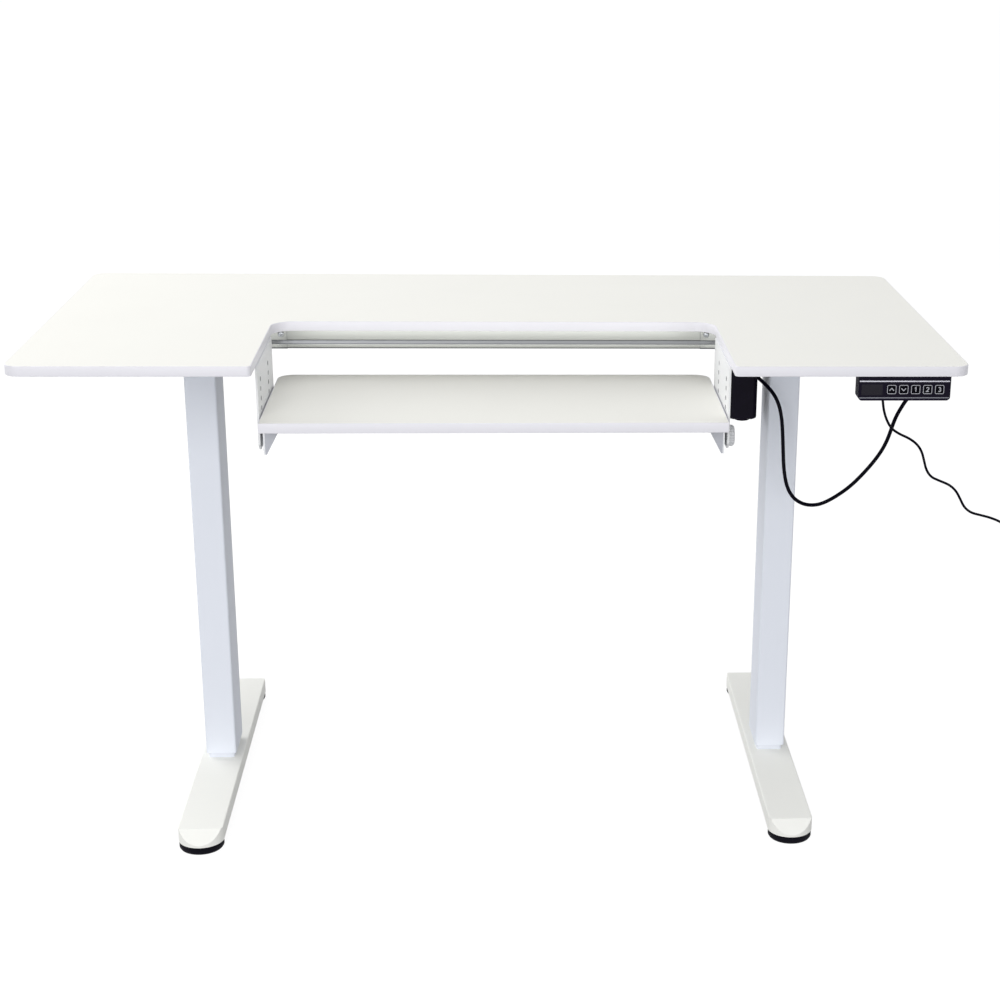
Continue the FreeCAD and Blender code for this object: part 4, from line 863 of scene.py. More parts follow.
@dataclass
class Tabletop:
    """The board with its cut-out in the front edge, its edge band and the screws under it."""

    width: float = 1.200
    depth: float = 0.600
    top: float = 0.680
    thickness: float = 0.013
    corner: float = 0.020
    well_width: float = 0.600
    well_rear: float = -0.040
    well_corner: float = 0.028
    well_mouth: float = 0.006
    band: float = 0.001
    arris: float = 0.0007
    screw_seat: float = 0.6645
    bracket_screws_x: tuple[float, ...] = (-0.4035, 0.4035)
    bracket_screws_y: tuple[float, ...] = (-0.170, -0.100, 0.110, 0.180)
    flange_screws_x: tuple[float, ...] = (-0.315, 0.315)
    flange_screws_y: tuple[float, ...] = (-0.228, -0.164, -0.100)
    tab_screws_x: tuple[float, ...] = (0.48775, 0.54775)
    tab_screws_y: tuple[float, ...] = (-0.264,)

    def outline(self) -> Array:
        """The board's outline, anticlockwise from its front left corner.

        Returns:
            Points, shaped n by 2.
        """
        x, y, well = self.width / 2, self.depth / 2, self.well_width / 2
        corners = [(-x, -y), (-well, -y), (-well, self.well_rear), (well, self.well_rear),
                   (well, -y), (x, -y), (x, y), (-x, y)]
        radii = [self.corner, self.well_mouth, self.well_corner, self.well_corner,
                 self.well_mouth, self.corner, self.corner, self.corner]
        return rounded_outline(corners, radii, 14)

    def screw_seats(self) -> list[tuple[Point, Way]]:
        """Seats of the screws: in the two top brackets, the side plates' flanges and the panel's tab.

        Returns:
            Middle of each seat, and where its head looks.
        """
        sets = ((self.bracket_screws_x, self.bracket_screws_y), (self.flange_screws_x, self.flange_screws_y),
                (self.tab_screws_x, self.tab_screws_y))
        return [((x, y, self.screw_seat), Way.DOWN) for across, along in sets for x in across for y in along]

    def build(self) -> None:
        """Makes the band and the screw heads, and dresses the board."""
        dress(MELAMINE, "tabletop")
        band = edge_band(self.outline(), self.top - self.thickness, self.band, self.thickness, self.arris)
        fit(band, "tabletop_edge_band", EDGE_BAND, "top", "edge_band", "tabletop_edge")
        ScrewHeads().build("top_screw_heads", "top", "top_screws", self.screw_seats())


@dataclass
class SunkenShelf:
    """The shelf in the cut-out, its band, brackets and screws."""

    half_width: float = 0.297
    front: float = -0.280
    rear: float = -0.022
    bottom: float = 0.589
    thickness: float = 0.013
    corner: float = 0.022
    front_corner: float = 0.0012
    band: float = 0.001
    arris: float = 0.0007
    screw_seat: float = 0.587
    screws_x: tuple[float, ...] = (-0.283, 0.283)
    screws_y: tuple[float, ...] = (-0.200, -0.128)

    def outline(self) -> Array:
        """The shelf's outline, anticlockwise from its front left corner."""
        corners = rectangle(-self.half_width, self.front, self.half_width, self.rear)
        return rounded_outline(corners, [self.front_corner] * 2 + [self.corner] * 2, 14)

    def build(self) -> None:
        """Makes the band and the screw heads, and dresses board and brackets."""
        dress(MELAMINE, "shelf_board")
        dress(BRACKET_PAINT_WITH_PAINTED_SHADE, "shelf_bracket_left", "shelf_bracket_right")
        band = edge_band(self.outline(), self.bottom, self.band, self.thickness, self.arris)
        fit(band, "shelf_edge_band", EDGE_BAND, "shelf", "edge_band", "shelf_edge")
        seats = [((x, y, self.screw_seat), Way.DOWN) for x in self.screws_x for y in self.screws_y]
        ScrewHeads().build("shelf_screw_heads", "shelf", "shelf_screws", seats)


@dataclass
class ShelfHangers:
    """The side plates that the shelf hangs on, with guide pins, spacers, nuts and clamping knobs."""

    knob_radius: float = 0.014
    knob_thickness: float = 0.0095
    knob_chamfer: float = 0.0022
    knob_foot: float = 0.002
    knob_foot_height: float = 0.0016
    knob_round: float = 0.0004
    dish_rim: float = 0.6
    dish_floor: float = 0.52
    dish_edge: float = 0.0007
    dish_depth: float = 0.0009
    flute_count: int = 18
    flute_depth: float = 0.07
    flute_low: float = 0.0010
    flute_margin: float = 0.0014
    stud_radius: float = 0.003
    plate_face: float = 0.3013
    knob_level: float = 0.5683
    left_knob_y: float = -0.132
    right_knob_y: float = -0.218

    def knob(self, name: str, node: str, y: float, way: Way) -> None:
        """A fluted clamping knob with a dished cap, on its stud.

        Args:
            name: the piece's name.
            node: the CAD node, which is also the start of its body's name.
            y: place of its axis, front to back.
            way: where the knob looks.
        """
        sign = way.value[0]
        low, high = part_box(node)
        reach = self.knob_thickness - (high[0] - low[0])
        radius, top, bevel, stud = self.knob_radius, self.knob_thickness, self.knob_chamfer, self.stud_radius
        profile = [(0.0, reach), (stud, reach), (stud, 0.0), (radius - self.knob_foot, 0.0),
                   (radius, self.knob_foot_height), (radius, top - bevel), (radius - bevel, top),
                   (radius * self.dish_rim, top), (radius * self.dish_floor, top - self.dish_edge),
                   (0.0, top - self.dish_depth)]
        rounded = eased(profile, self.knob_round, 4)
        grip = flutes(self.flute_count, self.flute_depth, self.flute_low, top - self.flute_margin)
        shell = turned(rounded, (sign * self.plate_face, y, self.knob_level), way, 144, grip)
        fit(shell, name, KNOB_GREY, f"{node}_body", "knob_plastic", node)

    def build(self) -> None:
        """Makes the knobs and dresses plates, pins, spacers and nuts."""
        dress(PLATE_PAINT, "side_plate_left", "side_plate_right")
        dress(ZINC, "guide_pins", "clamp_spacers", "clamp_nuts")
        self.knob("left_clamping_knob", "knob_left", self.left_knob_y, Way.LEFT)
        self.knob("right_clamping_knob", "knob_right", self.right_knob_y, Way.RIGHT)


@dataclass
class Columns:
    """The two telescopic columns with their feet and levelling pads."""

    axis: float = 0.4035
    column_back: float = 0.005
    front_pad: float = -0.2485
    rear_pad: float = 0.2585
    pad_radius: float = 0.030
    pad_height: float = 0.0095
    pad_round: float = 0.0003
    sole_step: float = 0.0014
    sole_lip: float = 0.0006
    sole_height: float = 0.0016
    rim_low: float = 0.0022
    rim_margin: float = 0.0014
    rim_bevel: float = 0.0016
    rim_drop: float = 0.0002
    shoulder: float = 0.62
    collar: float = 1.9
    collar_depth: float = 0.0004
    stud_radius: float = 0.004
    stud_top: float = 0.0235
    rib_count: int = 60
    rib_depth: float = 0.022
    rib_low: float = 0.0024
    bolt_radius: float = 0.005
    bolt_seat: float = 0.0275
    bolt_height: float = 0.005
    bolt_chamfer: float = 0.0006
    bolt_key: float = 0.0029
    bolt_key_depth: float = 0.0027
    bolt_across: float = 0.009
    bolt_along: float = 0.022

    def pad(self, name: str, node: str, x: float, y: float) -> None:
        """A levelling pad: a sole, a ribbed rim, a raised shoulder and its stud.

        Args:
            name: the piece's name.
            node: the CAD node, which is also the start of its body's name.
            x: place of its axis, left to right.
            y: place of its axis, front to back.
        """
        radius, top, stud = self.pad_radius, self.pad_height, self.stud_radius
        neck, sunk = stud * self.collar, top - self.collar_depth
        profile = [(0.0, 0.0), (radius - self.sole_step, 0.0), (radius - self.sole_lip, self.sole_height),
                   (radius, self.rim_low), (radius, top - self.rim_margin),
                   (radius - self.rim_bevel, top - self.rim_drop),
                   (radius * self.shoulder, top), (neck, top), (neck, sunk), (stud, sunk),
                   (stud, self.stud_top), (0.0, self.stud_top)]
        rounded = eased(profile, self.pad_round, 3)
        ribs = flutes(self.rib_count, self.rib_depth, self.rib_low, top - self.rim_margin)
        shell = turned(rounded, (x, y, 0.0), Way.UP, 240, ribs)
        fit(shell, name, PAD_BLACK, f"{node}_body", "pad_rubber", node)

    def bolt(self, x: float, y: float) -> Shell:
        """A bolt's round head with a hexagon socket, seen from under the foot.

        In the socket the spoke at an angle is a hexagon's, cos(30) / cos(angle within 60 - 30) of the key.

        Args:
            x: place of its axis, left to right.
            y: place of its axis, front to back.

        Returns:
            The head.
        """
        radius, top, bevel = self.bolt_radius, self.bolt_height, self.bolt_chamfer
        key, floor = self.bolt_key, self.bolt_height - self.bolt_key_depth
        profile = [(0.0, 0.0), (radius, 0.0), (radius, top - bevel), (radius - bevel, top), (key, top),
                   (key, floor), (0.0, floor)]

        def hexagon(height: Array, angle: Array) -> Array:
            """Share of the radius: a hexagon in the socket, a circle elsewhere."""
            side = math.cos(math.pi / 6) / np.cos(np.mod(angle, np.pi / 3) - np.pi / 6)
            return np.where(np.isclose(np.array(profile)[:, :1], key), side, 1.0)

        return turned(profile, (x, y, self.bolt_seat), Way.DOWN, 48, hexagon)

    def build(self) -> None:
        """Makes pads and bolt heads, and dresses tubes, glides, plates and feet."""
        dress(COLUMN_PAINT, "outer_tube_left", "outer_tube_right", "top_bracket_left", "top_bracket_right")
        dress(FOOT_PAINT_PAINTED_LIGHT, "foot_left", "foot_right")
        dress(INNER_STEEL, "inner_tube_left", "inner_tube_right")
        dress(GLIDE, "upper_glides", "lower_glides")
        dress(ZINC, "column_end_plates")
        for side, x in (("left", -self.axis), ("right", self.axis)):
            self.pad(f"{side}_front_pad", f"pad_front_{side}", x, self.front_pad)
            self.pad(f"{side}_rear_pad", f"pad_rear_{side}", x, self.rear_pad)
        bolts = [self.bolt(x + across, self.column_back + along) for x in (-self.axis, self.axis)
                 for across in (-self.bolt_across, self.bolt_across)
                 for along in (-self.bolt_along, self.bolt_along)]
        fit(Shell.joined(bolts), "foot_bolt_heads", ZINC, "base", "steel", "foot_bolts")


@dataclass(frozen=True)
class RailSection:
    """Cross-section of a rail: half of its depth over webs, grooves and beads, and its lower level."""

    web: float
    groove: float
    bead: float
    bottom: float


@dataclass
class Crossbar:
    """The crossbar between the columns, rolled with a groove and a bead along its sides, and its screws."""

    bar: RailSection = RailSection(0.0164, 0.0144, 0.0164, 0.6358)
    sleeve: RailSection = RailSection(0.0180, 0.0150, 0.0166, 0.6354)
    roundings: tuple[float, ...] = (0.0016, 0.0004, 0.0004, 0.0005, 0.0010, 0.0026)
    middle: float = 0.005
    groove_top: float = 0.6484
    groove_slope: float = 0.0006
    groove_height: float = 0.0014
    bead_top: float = 0.6422
    wall: float = 0.0012
    screw_x: float = 0.293
    screw_level: float = 0.657
    front_seat: float = -0.013
    rear_seat: float = 0.023

    def section(self, size: RailSection, top: float, inset: float) -> Array:
        """Outline of a rail, seen along X: flat webs, a groove in each, and a rounded bead below it.

        Args:
            size: the rail's cross-section.
            top: the rail's upper level.
            inset: how far inside the rail's surface the outline lies.

        Returns:
            Points of Y and Z, shaped n by 2.
        """
        web, groove, bead = size.web - inset, size.groove - inset, size.bead - inset
        side = np.array([(web, top - inset), (web, self.groove_top),
                         (groove, self.groove_top - self.groove_slope),
                         (groove, self.groove_top - self.groove_height),
                         (bead, self.bead_top), (bead, size.bottom + inset)])
        corners = np.concatenate([side * (-1, 1), side[::-1]]) + (self.middle, 0.0)
        return rounded_outline(corners, self.roundings + self.roundings[::-1], 6)

    def rail(self, name: str, node: str, size: RailSection) -> None:
        """A hollow rail: the outline at both ends and a smaller one inside it, joined into a ring.

        Args:
            name: the piece's name.
            node: the CAD node, whose box gives the ends and the upper level.
            size: the rail's cross-section.
        """
        low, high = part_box(node)
        outer, inner = (self.section(size, high[2], inset) for inset in (0.0, self.wall))
        rows = ((outer, low[0]), (outer, high[0]), (inner, high[0]), (inner, low[0]))
        grid = np.stack([np.column_stack([np.full(len(line), x), line]) for line, x in rows])
        fit(Shell.of_grid(grid, True, True), name, RAIL_METAL_WITH_PAINTED_SHADE, "top", "rail_metal", node)

    def build(self) -> None:
        """Makes the rails and the screw heads."""
        self.rail("crossbar_middle", "rail_center", self.bar)
        for side in ("left", "right"):
            self.rail(f"crossbar_{side}_sleeve", f"rail_{side}", self.sleeve)
        seats = [((x, y, self.screw_level), way) for x in (-self.screw_x, self.screw_x)
                 for y, way in ((self.front_seat, Way.FRONT), (self.rear_seat, Way.BACK))]
        ScrewHeads().build("rail_screw_heads", "top", "rail_screws", seats)


@dataclass(frozen=True)
class BendRelief:
    """A ribbed, tapered sleeve where a cable leaves its housing."""

    base: float
    tip: float
    length: float
    ribs: int
    groove_depth: float = 0.14
    first_groove: float = 0.12
    last_groove: float = 0.95

    def shell(self, spot: Point, way: Way) -> Shell:
        """The sleeve's surface: a taper whose radius dips by a share in the grooves between its ribs.

        The groove is twice sin(2 pi x ribs x share of the length - pi / 2), held between nought and one.

        Args:
            spot: middle of its seat on the housing.
            way: where the cable leaves.

        Returns:
            The sleeve.
        """
        share = np.linspace(0.0, 1.0, 16 * self.ribs + 1)
        radius = (self.base + (self.tip - self.base) * share) / 2
        groove = np.clip(np.sin(2 * np.pi * self.ribs * share - np.pi / 2) * 2.0, 0.0, 1.0)
        grooved = (share > self.first_groove) * (share < self.last_groove)
        radius = radius * (1.0 - self.groove_depth * groove * grooved)
        body = np.column_stack([radius, share * self.length])
        profile = np.concatenate([[(0.0, 0.0)], body, [(0.0, self.length)]])
        return turned(profile, spot, way, 40)


@dataclass
class LiftDrive:
    """The motor under its cover, the cross shaft, the spindles and what they run in."""

    gland_spot: Point = (0.352, -0.021, 0.614)
    gland: BendRelief = BendRelief(0.011, 0.007, 0.010, 4)

    def build(self) -> None:
        """Makes the motor's gland and dresses the drive."""
        dress(COVER_BLACK, "motor_cover")
        dress(CAST_METAL, "column_gearboxes", "gear_motor")
        dress(SHAFT_STEEL, "cross_shaft", "spindle_left", "spindle_right")
        dress(GLIDE, "drive_nuts")
        sleeve = self.gland.shell(self.gland_spot, Way.FRONT)
        fit(sleeve, "motor_bend_relief", GLAND_RUBBER, "top", "black_plastic", "motor_gland")


class Mark(Enum):
    """What is printed on a key."""

    UP = "up"
    DOWN = "down"
    ONE = "one"
    TWO = "two"
    THREE = "three"


def arc(centre: Point, radius: float, start: float, end: float, steps: int = 18) -> Array:
    """Points of an arc about a centre, from one angle in degrees to another, shaped steps by 2."""
    angle = np.radians(np.linspace(start, end, steps))
    return np.asarray(centre) + radius * np.stack([np.cos(angle), np.sin(angle)], axis=-1)


@dataclass
class KeyPanel:
    """The key panel under the front edge: housing, face, display, trim, keys and their print."""

    key_level: float = 0.6485
    key_front: float = -0.2922
    key_size: float = 0.0126
    key_corner: float = 0.0025
    first_key: float = 0.5011
    key_pitch: float = 0.0154
    print_height: float = 0.00006
    frame_inset: float = 0.0008
    frame_width: float = 0.0008
    mark_width: float = 0.00115
    gland_level: float = 0.648
    gland_back: float = -0.270
    gland_places: tuple[float, float] = (0.552, 0.502)
    gland: BendRelief = BendRelief(0.011, 0.007, 0.020, 6)

    def strokes(self, mark: Mark) -> list[Array]:
        """Lines of a mark in millimetres about the key's middle.

        Args:
            mark: which mark.

        Returns:
            One line of points, shaped n by 2, for each stroke.
        """
        lines = {
            Mark.UP: [np.array([(-2.9, -1.5), (0.0, 1.6), (2.9, -1.5)])],
            Mark.DOWN: [np.array([(-2.9, 1.5), (0.0, -1.6), (2.9, 1.5)])],
            Mark.ONE: [np.array([(-1.2, 1.5), (0.3, 2.7), (0.3, -2.7)])],
            Mark.TWO: [np.concatenate([arc((0.0, 1.15), 1.55, 165, -35), [(-1.6, -2.6), (1.7, -2.6)]])],
            Mark.THREE: [np.concatenate([arc((0.0, 1.25), 1.4, 150, -75),
                                         arc((0.0, -1.25), 1.5, 75, -150)])],
        }
        return lines[mark]

    def printed(self, line: Array, middle: float, width: float, closed: bool) -> Shell:
        """A printed line: a low flat strip carried along the line on a key's front.

        Args:
            line: points in metres about the key's middle, shaped n by 2.
            middle: the key's middle, left to right.
            width: width of the strip.
            closed: whether the line is a ring.

        Returns:
            The strip.
        """
        path = np.column_stack([line[:, 0] + middle, np.full(len(line), self.key_front),
                                line[:, 1] + self.key_level])
        section = np.array([(-0.5, -0.2), (0.5, -0.2), (0.5, 0.7), (0.4, 1.0), (-0.4, 1.0), (-0.5, 0.7)])
        return carried(path, section * (width, self.print_height), Way.FRONT.value, closed)

    def key_print(self, mark: Mark, place: int) -> None:
        """The frame line and the mark of one key.

        Args:
            mark: what the key shows.
            place: the key's place from the left.
        """
        middle = self.first_key + place * self.key_pitch
        half = self.key_size / 2 - self.frame_inset
        square = rectangle(-half, -half, half, half)
        ring = rounded_outline(square, [self.key_corner - self.frame_inset] * 4, 8)
        shells = [self.printed(ring, middle, self.frame_width, closed=True)]
        shells += [self.printed(line * MM, middle, self.mark_width, closed=False)
                   for line in self.strokes(mark)]
        key = f"key_{mark.value}"
        fit(Shell.joined(shells), f"{key}_print", KEY_PRINT, f"{key}_body", "key_plastic")

    def build(self) -> None:
        """Makes the keys' print and the bend reliefs, and dresses the panel."""
        dress(PANEL_BLACK, "panel_housing")
        dress(FACE_FILM, "panel_face")
        dress(DISPLAY, "display_window")
        dress(TRIM_SILVER_WITH_PAINTED_SHADE, "panel_trim")
        dress(KEY_BLACK, "key_up", "key_down", "key_one", "key_two", "key_three")
        dress(CIRCUIT, "key_board")
        for place, mark in enumerate(Mark):
            self.key_print(mark, place)
        sleeves = [self.gland.shell((x, self.gland_back, self.gland_level), Way.BACK)
                   for x in self.gland_places]
        fit(Shell.joined(sleeves), "panel_bend_reliefs", GLAND_RUBBER, "top", "black_plastic", "panel_glands")


@dataclass
class MotorCable:
    """The cable from the motor to the key panel, hanging in a loop."""

    diameter: float = 0.0052
    length: float = 0.538
    route: tuple[Point, ...] = (
        (352, -31, 614), (352, -42, 614), (353.3, -51, 613), (357.5, -57.5, 610), (364, -61.5, 605),
        (371.5, -66, 598.7), (379, -71.2, 591.5), (385.5, -75.2, 582.3), (390.3, -77.6, 571),
        (393.3, -78.8, 558.5), (395.2, -79.7, 545), (396.3, -80.6, 530), (397.5, -82, 510), (399, -85, 483),
        (403, -90.5, 459.5), (411.5, -98, 444.5), (424, -107, 438.3), (436, -116, 439), (448, -127, 444.8),
        (463.5, -141, 459), (481, -153, 477.5), (494.5, -166, 498.5), (506, -178.5, 519.5),
        (514.5, -188.5, 538.5), (520, -196, 556.5), (523, -202, 573.5), (526.5, -207, 589.5),
        (532, -210.5, 603), (538, -213.3, 615), (544.5, -216.5, 625), (549, -221.5, 635.5),
        (551.5, -229.5, 644.5), (552, -239.5, 648), (552, -250, 648))

    def build(self) -> None:
        route = np.array(self.route) * MM
        line = smooth_line(route, 8)
        tube = tube_along(line, self.diameter / 2)
        cable = fit(tube, "motor_cable_jacket", JACKET, "top", "cord_jacket", "motor_cable")


@dataclass
class PowerCord:
    """The power cord from the key panel to the floor, its put-away coil, its tie and its plug."""

    diameter: float = 0.0034
    length: float = 1.709
    coil_centre: Point = (0.780, -0.093)
    coil_level: float = 0.0027
    coil_radius: float = 0.027
    coil_pitch: float = 0.0046
    coil_turns: int = 3
    points_per_turn: int = 20
    plug_x: float = 0.8093
    plug_start: float = -0.0896
    plug_level: float = 0.0073
    relief_length: float = 0.022
    relief_tip: float = 0.0025
    relief_growth: float = 0.0020
    relief_ribs: int = 6
    rib_depth: float = 0.12
    rib_edge: float = 0.1
    rib_end: float = 0.97
    body_length: float = 0.034
    body_seam: float = 0.0004
    body_width: float = 0.024
    body_height: float = 0.0138
    body_bottom: float = 0.0002
    body_shoulder: float = 0.007
    body_round: float = 0.0012
    body_squareness: float = 2.6
    body_swell: float = 0.8
    body_end: float = 0.05
    grip_pitch: float = 0.0036
    grip_depth: float = 0.05
    grip_start: float = 0.010
    grip_margin: float = 0.008
    pin_radius: float = 0.0024
    pin_length: float = 0.019
    pin_spacing: float = 0.014
    pin_root: float = 0.001
    pin_neck: float = 0.86
    pin_shoulder: float = 0.52
    pin_step: float = 0.0003
    strap_thickness: float = 0.0006
    strap_corner: float = 0.0010
    strap_round: float = 0.00014
    route: tuple[Point, ...] = (
        (502, -250, 648), (502, -237.6, 648), (502.1, -231.4, 645.4), (502.3, -226.6, 640.6),
        (502.7, -224, 634.4), (503.2, -223.8, 626), (504.5, -223.6, 616), (506.5, -223.5, 603.5),
        (510.5, -223.4, 591.5), (517.5, -223.3, 579), (529, -223.2, 571), (542, -223, 565.5),
        (553.5, -222.9, 557.5), (561, -222.8, 547), (565, -222.7, 533.5), (568.5, -222.6, 521.5),
        (575.5, -222.5, 511.5), (588, -222.4, 506), (601.5, -222.3, 500.5), (611, -222.2, 492),
        (617.5, -222.1, 480.5), (623.5, -221.9, 469), (633.5, -221.8, 461), (647.5, -221.7, 457.5),
        (660.5, -221.6, 454), (674, -221.5, 448.5), (688, -219.5, 439), (701, -216.5, 424), (711, -213, 403),
        (718.5, -209, 377), (724, -205, 342), (729.5, -199.5, 296), (733.5, -193.5, 246),
        (736.5, -187.5, 196), (741, -181, 147), (748, -173, 104), (758, -163.5, 67), (770.5, -152.5, 37),
        (784.5, -140, 16.5), (796.5, -126.5, 6), (804.5, -113.5, 2.9), (807, -106.6, 2.7), (807, -96.4, 2.7))

    def coil(self) -> Array:
        """Control points of the coil: a spiral inwards, half a turn up to the next layer, a spiral outwards.

        At an angle the radius is the outer one less a pitch for each turn wound inwards, and the level rises
        by a pitch over the half turn between the layers, as share - sin(2 pi share) / 2 pi.

        Returns:
            Points, shaped n by 3, with a last straight point into the plug.
        """
        inward = 2 * np.pi * self.coil_turns
        count = int(self.points_per_turn * (2 * self.coil_turns + 1))
        angle = np.linspace(0.0, 2 * inward + 2 * np.pi, count + 1)
        climbed = np.clip((angle - inward) / np.pi, 0.0, 1.0)
        wound = np.minimum(angle, inward) - np.clip(angle - inward - np.pi, 0.0, None)
        radius = self.coil_radius - self.coil_pitch * wound / (2 * np.pi)
        level = self.coil_level + self.coil_pitch * (climbed - np.sin(2 * np.pi * climbed) / (2 * np.pi))
        turns = np.column_stack([self.coil_centre[0] + radius * np.cos(angle),
                                 self.coil_centre[1] + radius * np.sin(angle), level])
        return np.concatenate([turns, [(self.plug_x, self.plug_start, self.plug_level)]])

    def plug(self) -> Shell:
        """The moulded plug: a squared oval carried from the relief's tip to the face that holds the pins.

        Along the run the half width and half height follow the taper and then the body, and a point at an
        angle is |cos|^(2/n) and |sin|^(2/n) of them, n growing from 2 in the relief to 4.6 in the body.

        Returns:
            The plug without its pins.
        """
        start, total, end = self.relief_length, self.relief_length + self.body_length, self.body_round
        run = np.concatenate([np.linspace(0.0, start, 61),
                              np.linspace(start + self.body_seam, total - end, 34),
                              total - end * (1.0 - np.sin(np.linspace(0.15, 1.0, 6) * np.pi / 2))])[:, None]
        sleeve = np.clip(run / start, 0.0, 1.0)
        wave = np.sin(sleeve * 2 * np.pi * self.relief_ribs - np.pi / 2)
        ribs = 1.0 - self.rib_depth * (wave > self.rib_edge) * (sleeve < self.rib_end)
        taper = (self.relief_tip + self.relief_growth * sleeve) * ribs
        body = np.clip((run - start) / self.body_shoulder, 0.0, 1.0)
        swell = np.sin(body * np.pi / 2) ** self.body_swell
        ending = 1.0 - self.body_end * np.clip((run - total + end) / end, 0.0, 1.0) ** 2
        gripped = (run > start + self.grip_start) & (run < total - self.grip_margin)
        grip = 1.0 - self.grip_depth * (np.sin((run - start) * 2 * np.pi / self.grip_pitch) > 0.0) * gripped
        wide = (taper + (self.body_width / 2 - taper) * swell) * ending * np.where(body > 0, grip, 1.0)
        high = (taper + (self.body_height / 2 - taper) * swell) * ending
        level = self.plug_level + (self.body_bottom + self.body_height / 2 - self.plug_level) * swell
        power = 2.0 / (2.0 + self.body_squareness * swell)
        cosine, sine = np.cos(full_turn(56)), np.sin(full_turn(56))
        x = self.plug_x + wide * np.sign(cosine) * np.abs(cosine) ** power
        z = level + high * np.sign(sine) * np.abs(sine) ** power
        y = np.broadcast_to(self.plug_start + run, x.shape)
        return Shell.capped(np.stack([x, y, z], axis=-1))

    def pins(self) -> Shell:
        """The plug's two round pins with domed tips and a thinner root.

        Returns:
            Both pins.
        """
        start = self.plug_start + self.relief_length + self.body_length - self.pin_root
        length, radius = self.pin_length + self.pin_root, self.pin_radius
        tip = arc((0.0, length - radius), radius, 0, 90, 10)
        neck, shoulder = radius * self.pin_neck, length * self.pin_shoulder
        profile = np.concatenate([[(0.0, 0.0), (neck, 0.0), (neck, shoulder),
                                   (radius, shoulder + self.pin_step)], tip])
        level = self.body_bottom + self.body_height / 2
        spots = [(self.plug_x + across * self.pin_spacing / 2, start, level) for across in (-1, 1)]
        return Shell.joined([turned(profile, spot, Way.BACK, 32) for spot in spots])

    def tie(self) -> Shell:
        """A woven strap round the coil: a thin section carried round a rounded rectangle in the YZ plane.

        Returns:
            The strap.
        """
        low, high = (np.array(corner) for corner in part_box("cord_tie"))
        half = self.strap_thickness / 2
        course = rectangle(low[1] + half, low[2] + half, high[1] - half, high[2] - half)
        ring = rounded_outline(course, [self.strap_corner] * 4, 8)
        path = np.column_stack([np.full(len(ring), (low[0] + high[0]) / 2), ring])
        wide = (high[0] - low[0]) / 2
        section = rounded_outline(rectangle(-half, -wide, half, wide), [self.strap_round] * 4, 4)
        return carried(path, section, Way.RIGHT.value, closed=True)

    def build(self) -> None:
        route = np.concatenate([np.array(self.route) * MM, self.coil()])
        line = smooth_line(route, 5)
        cord = tube_along(line, self.diameter / 2, 12).piece("power_cord_jacket", JACKET.material())
        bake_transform(cord)
        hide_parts("power_cord", "power_cord_coil")
        plug = fit(self.plug(), "cord_plug", PLUG_BLACK, "base", "plug_plastic", "power_plug")
        pins = fit(self.pins(), "cord_plug_pins", PIN_METAL, "base", "pin_brass", "plug_pins")
        tie = fit(self.tie(), "coil_strap", STRAP, "base", "tie_fabric", "cord_tie")
        LOG.info("built %s between base and top", cord.name)


def placed(holder: bpy.types.Object, spot: Point, right: Array, ahead: Array) -> None:
    """Puts a lamp or a camera in its place, with right, up, backwards and the spot as its matrix's columns.

    Args:
        holder: the lamp or the camera.
        spot: where it stands.
        right: where its right side points.
        ahead: where it looks.
    """
    columns = np.eye(4)
    columns[:3] = np.column_stack([right, np.cross(right, ahead), -ahead, spot])
    holder.matrix_world = Matrix(columns.tolist())
    bpy.context.scene.collection.objects.link(holder)


@dataclass(frozen=True)
class Lamp:
    """A soft rectangular studio lamp."""

    name: str
    spot: Point
    target: Point
    size: tuple[float, float]
    power: float

    def build(self) -> None:
        """Hangs the lamp and aims it."""
        light = bpy.data.lights.new(self.name, "AREA")
        light.shape = "RECTANGLE"
        light.size, light.size_y = self.size
        light.energy = self.power
        ahead = unit(np.asarray(self.target) - np.asarray(self.spot))
        right = unit(np.cross(ahead, Way.UP.value))
        placed(bpy.data.objects.new(self.name, light), self.spot, right, ahead)


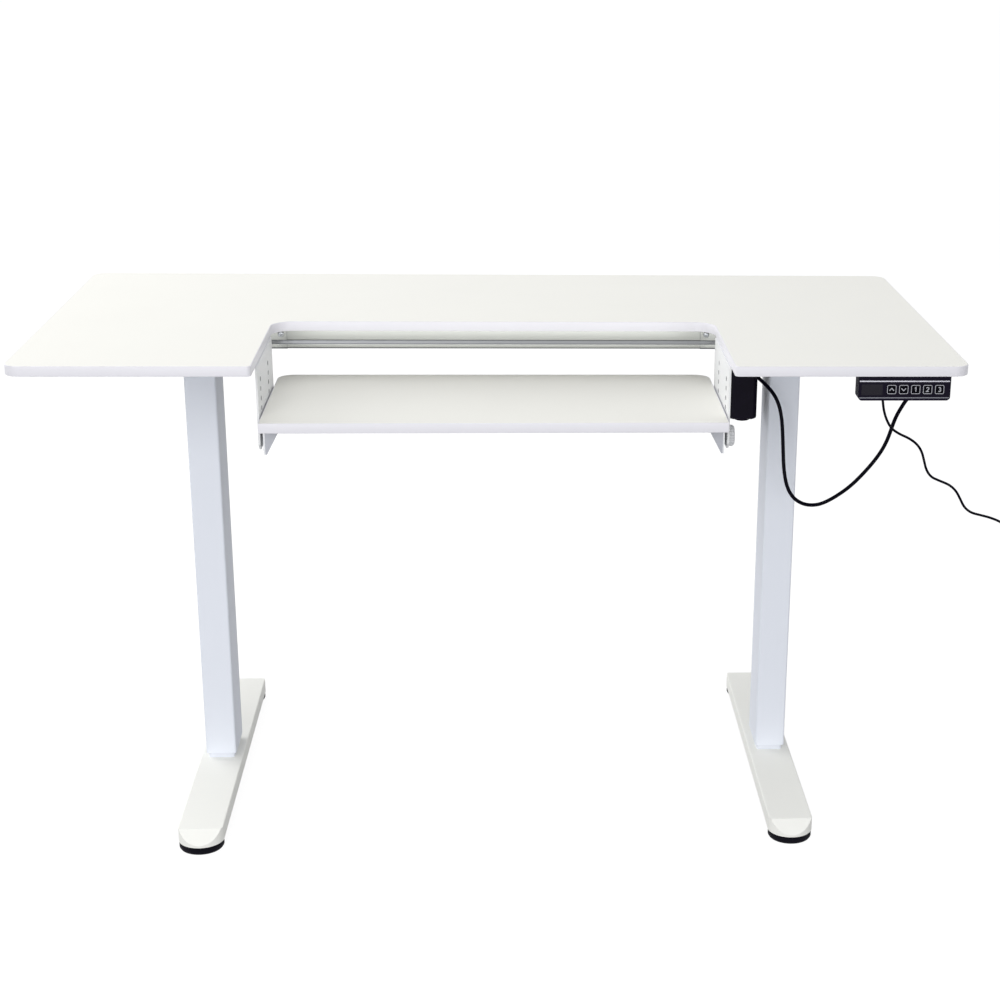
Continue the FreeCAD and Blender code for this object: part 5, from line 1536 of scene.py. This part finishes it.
@dataclass
class Studio:
    """White floor, even world light, soft lamps and the camera."""

    floor_level: float = -0.0006
    floor_half: float = 40.0
    floor_bounce: float = 0.32
    floor_shadow: float = 0.16
    floor_glow: float = 0.93
    world_light: float = 0.61
    world_tint: tuple[float, ...] = (0.97, 0.98, 1.0, 1.0)
    lamps: tuple[Lamp, ...] = (
        Lamp("key_lamp", (-1.22, -2.8, 1.6), (-0.1, 0.0, 0.42), (1.9, 1.4), 23.0),
        Lamp("front_lamp", (0.2, -3.0, 0.5), (0.0, 0.0, 0.5), (2.6, 0.8), 21.0),
        Lamp("overhead_lamp", (-0.6, -0.2, 2.8), (-0.2, 0.0, 0.6), (2.0, 1.6), 10.5),
        Lamp("left_rear_lamp", (-2.4, 1.4, 1.5), (-0.2, 0.0, 0.2), (2.0, 1.6), 37.0),
    )
    camera_spot: Point = (0.00174, -2.6682, 1.2493)
    camera_yaw: float = 0.0818
    camera_pitch: float = 0.3358
    camera_roll: float = -0.0195
    sensor: float = 36.0
    lens: float = 70.16
    shift: tuple[float, float] = (-0.14905, 0.06344)

    def seen(self, tree: Tree) -> Socket:
        """A switch that is on for what the camera sees, directly or in a gloss or through glass.

        Args:
            tree: nodes of the floor's material or of the world.

        Returns:
            The switch's socket.
        """
        rays = added(tree, "LightPath").outputs
        seen = rays["Is Camera Ray"]
        for name in ("Is Glossy Ray", "Is Transmission Ray"):
            seen = worked(tree, "MAXIMUM", seen, rays[name])
        return seen

    def shown(self, tree: Tree, output: str, lighting: Socket, looks: Socket) -> None:
        """Lets a surface or the world light the scene with one shader and be seen with another."""
        pick = feed(tree, tree.nodes.new("ShaderNodeMixShader"), {0: self.seen(tree), 1: lighting, 2: looks})
        feed(tree, tree.nodes[output], {"Surface": pick.outputs[0]})

    def floor(self) -> None:
        """A plain white floor that keeps a faint shadow."""
        made = bpy.data.materials.new("studio_floor")
        made.use_nodes = True
        tree = made.node_tree
        tree.nodes.remove(tree.nodes["Principled BSDF"])
        bounce, shadow = (added(tree, "BsdfDiffuse", Color=(tone, tone, tone, 1.0)).outputs[0]
                          for tone in (self.floor_bounce, self.floor_shadow))
        glow = added(tree, "Emission", Strength=self.floor_glow).outputs[0]
        lit = feed(tree, tree.nodes.new("ShaderNodeAddShader"), {0: glow, 1: shadow}).outputs[0]
        self.shown(tree, "Material Output", bounce, lit)
        across, along = np.meshgrid(*[np.linspace(-self.floor_half, self.floor_half, 3)] * 2)
        grid = np.stack([across, along, np.full_like(across, self.floor_level)], axis=-1)
        floor = Shell.of_grid(grid, False, False).piece("studio_floor", made)

    def world(self) -> None:
        """Even light from all round, seen as plain white."""
        world = bpy.data.worlds.new("studio_world")
        bpy.context.scene.world = world
        world.use_nodes = True
        tree = world.node_tree
        light = feed(tree, tree.nodes["Background"], {"Color": self.world_tint, "Strength": self.world_light})
        white = added(tree, "Background", Color=(1.0, 1.0, 1.0, 1.0))
        self.shown(tree, "World Output", light.outputs[0], white.outputs[0])

    def camera(self) -> None:
        """The camera, turned by yaw and pitch, then rolled about its own axis."""
        data = bpy.data.cameras.new("camera")
        data.sensor_width, data.lens = self.sensor, self.lens
        data.shift_x, data.shift_y = self.shift
        data.clip_end = 200.0
        yaw, pitch, roll = self.camera_yaw, self.camera_pitch, self.camera_roll
        ahead = np.array([math.sin(yaw) * math.cos(pitch), math.cos(yaw) * math.cos(pitch), -math.sin(pitch)])
        level = np.array([math.cos(yaw), -math.sin(yaw), 0.0])
        down = np.cross(ahead, level)
        right = math.cos(roll) * level + math.sin(roll) * down
        holder = bpy.data.objects.new("camera", data)
        placed(holder, self.camera_spot, right, ahead)
        bpy.context.scene.camera = holder

    def build(self) -> None:
        """Sets up camera, floor, world and lamps."""
        bpy.context.scene.view_settings.view_transform = "Standard"
        self.camera()
        self.floor()
        self.world()
        for lamp in self.lamps:
            lamp.build()


def main() -> None:
    """Builds the studio, the cords and every sub-assembly in order."""
    logging.basicConfig(level=logging.INFO, format="%(message)s")
    Studio().build()
    for assembly in (MotorCable(), PowerCord(), Tabletop(), SunkenShelf(), ShelfHangers(), Columns(),
                     Crossbar(), LiftDrive(), KeyPanel()):
        assembly.build()
        LOG.info("finished %s", type(assembly).__name__)


if __name__ == "__main__":
    main()
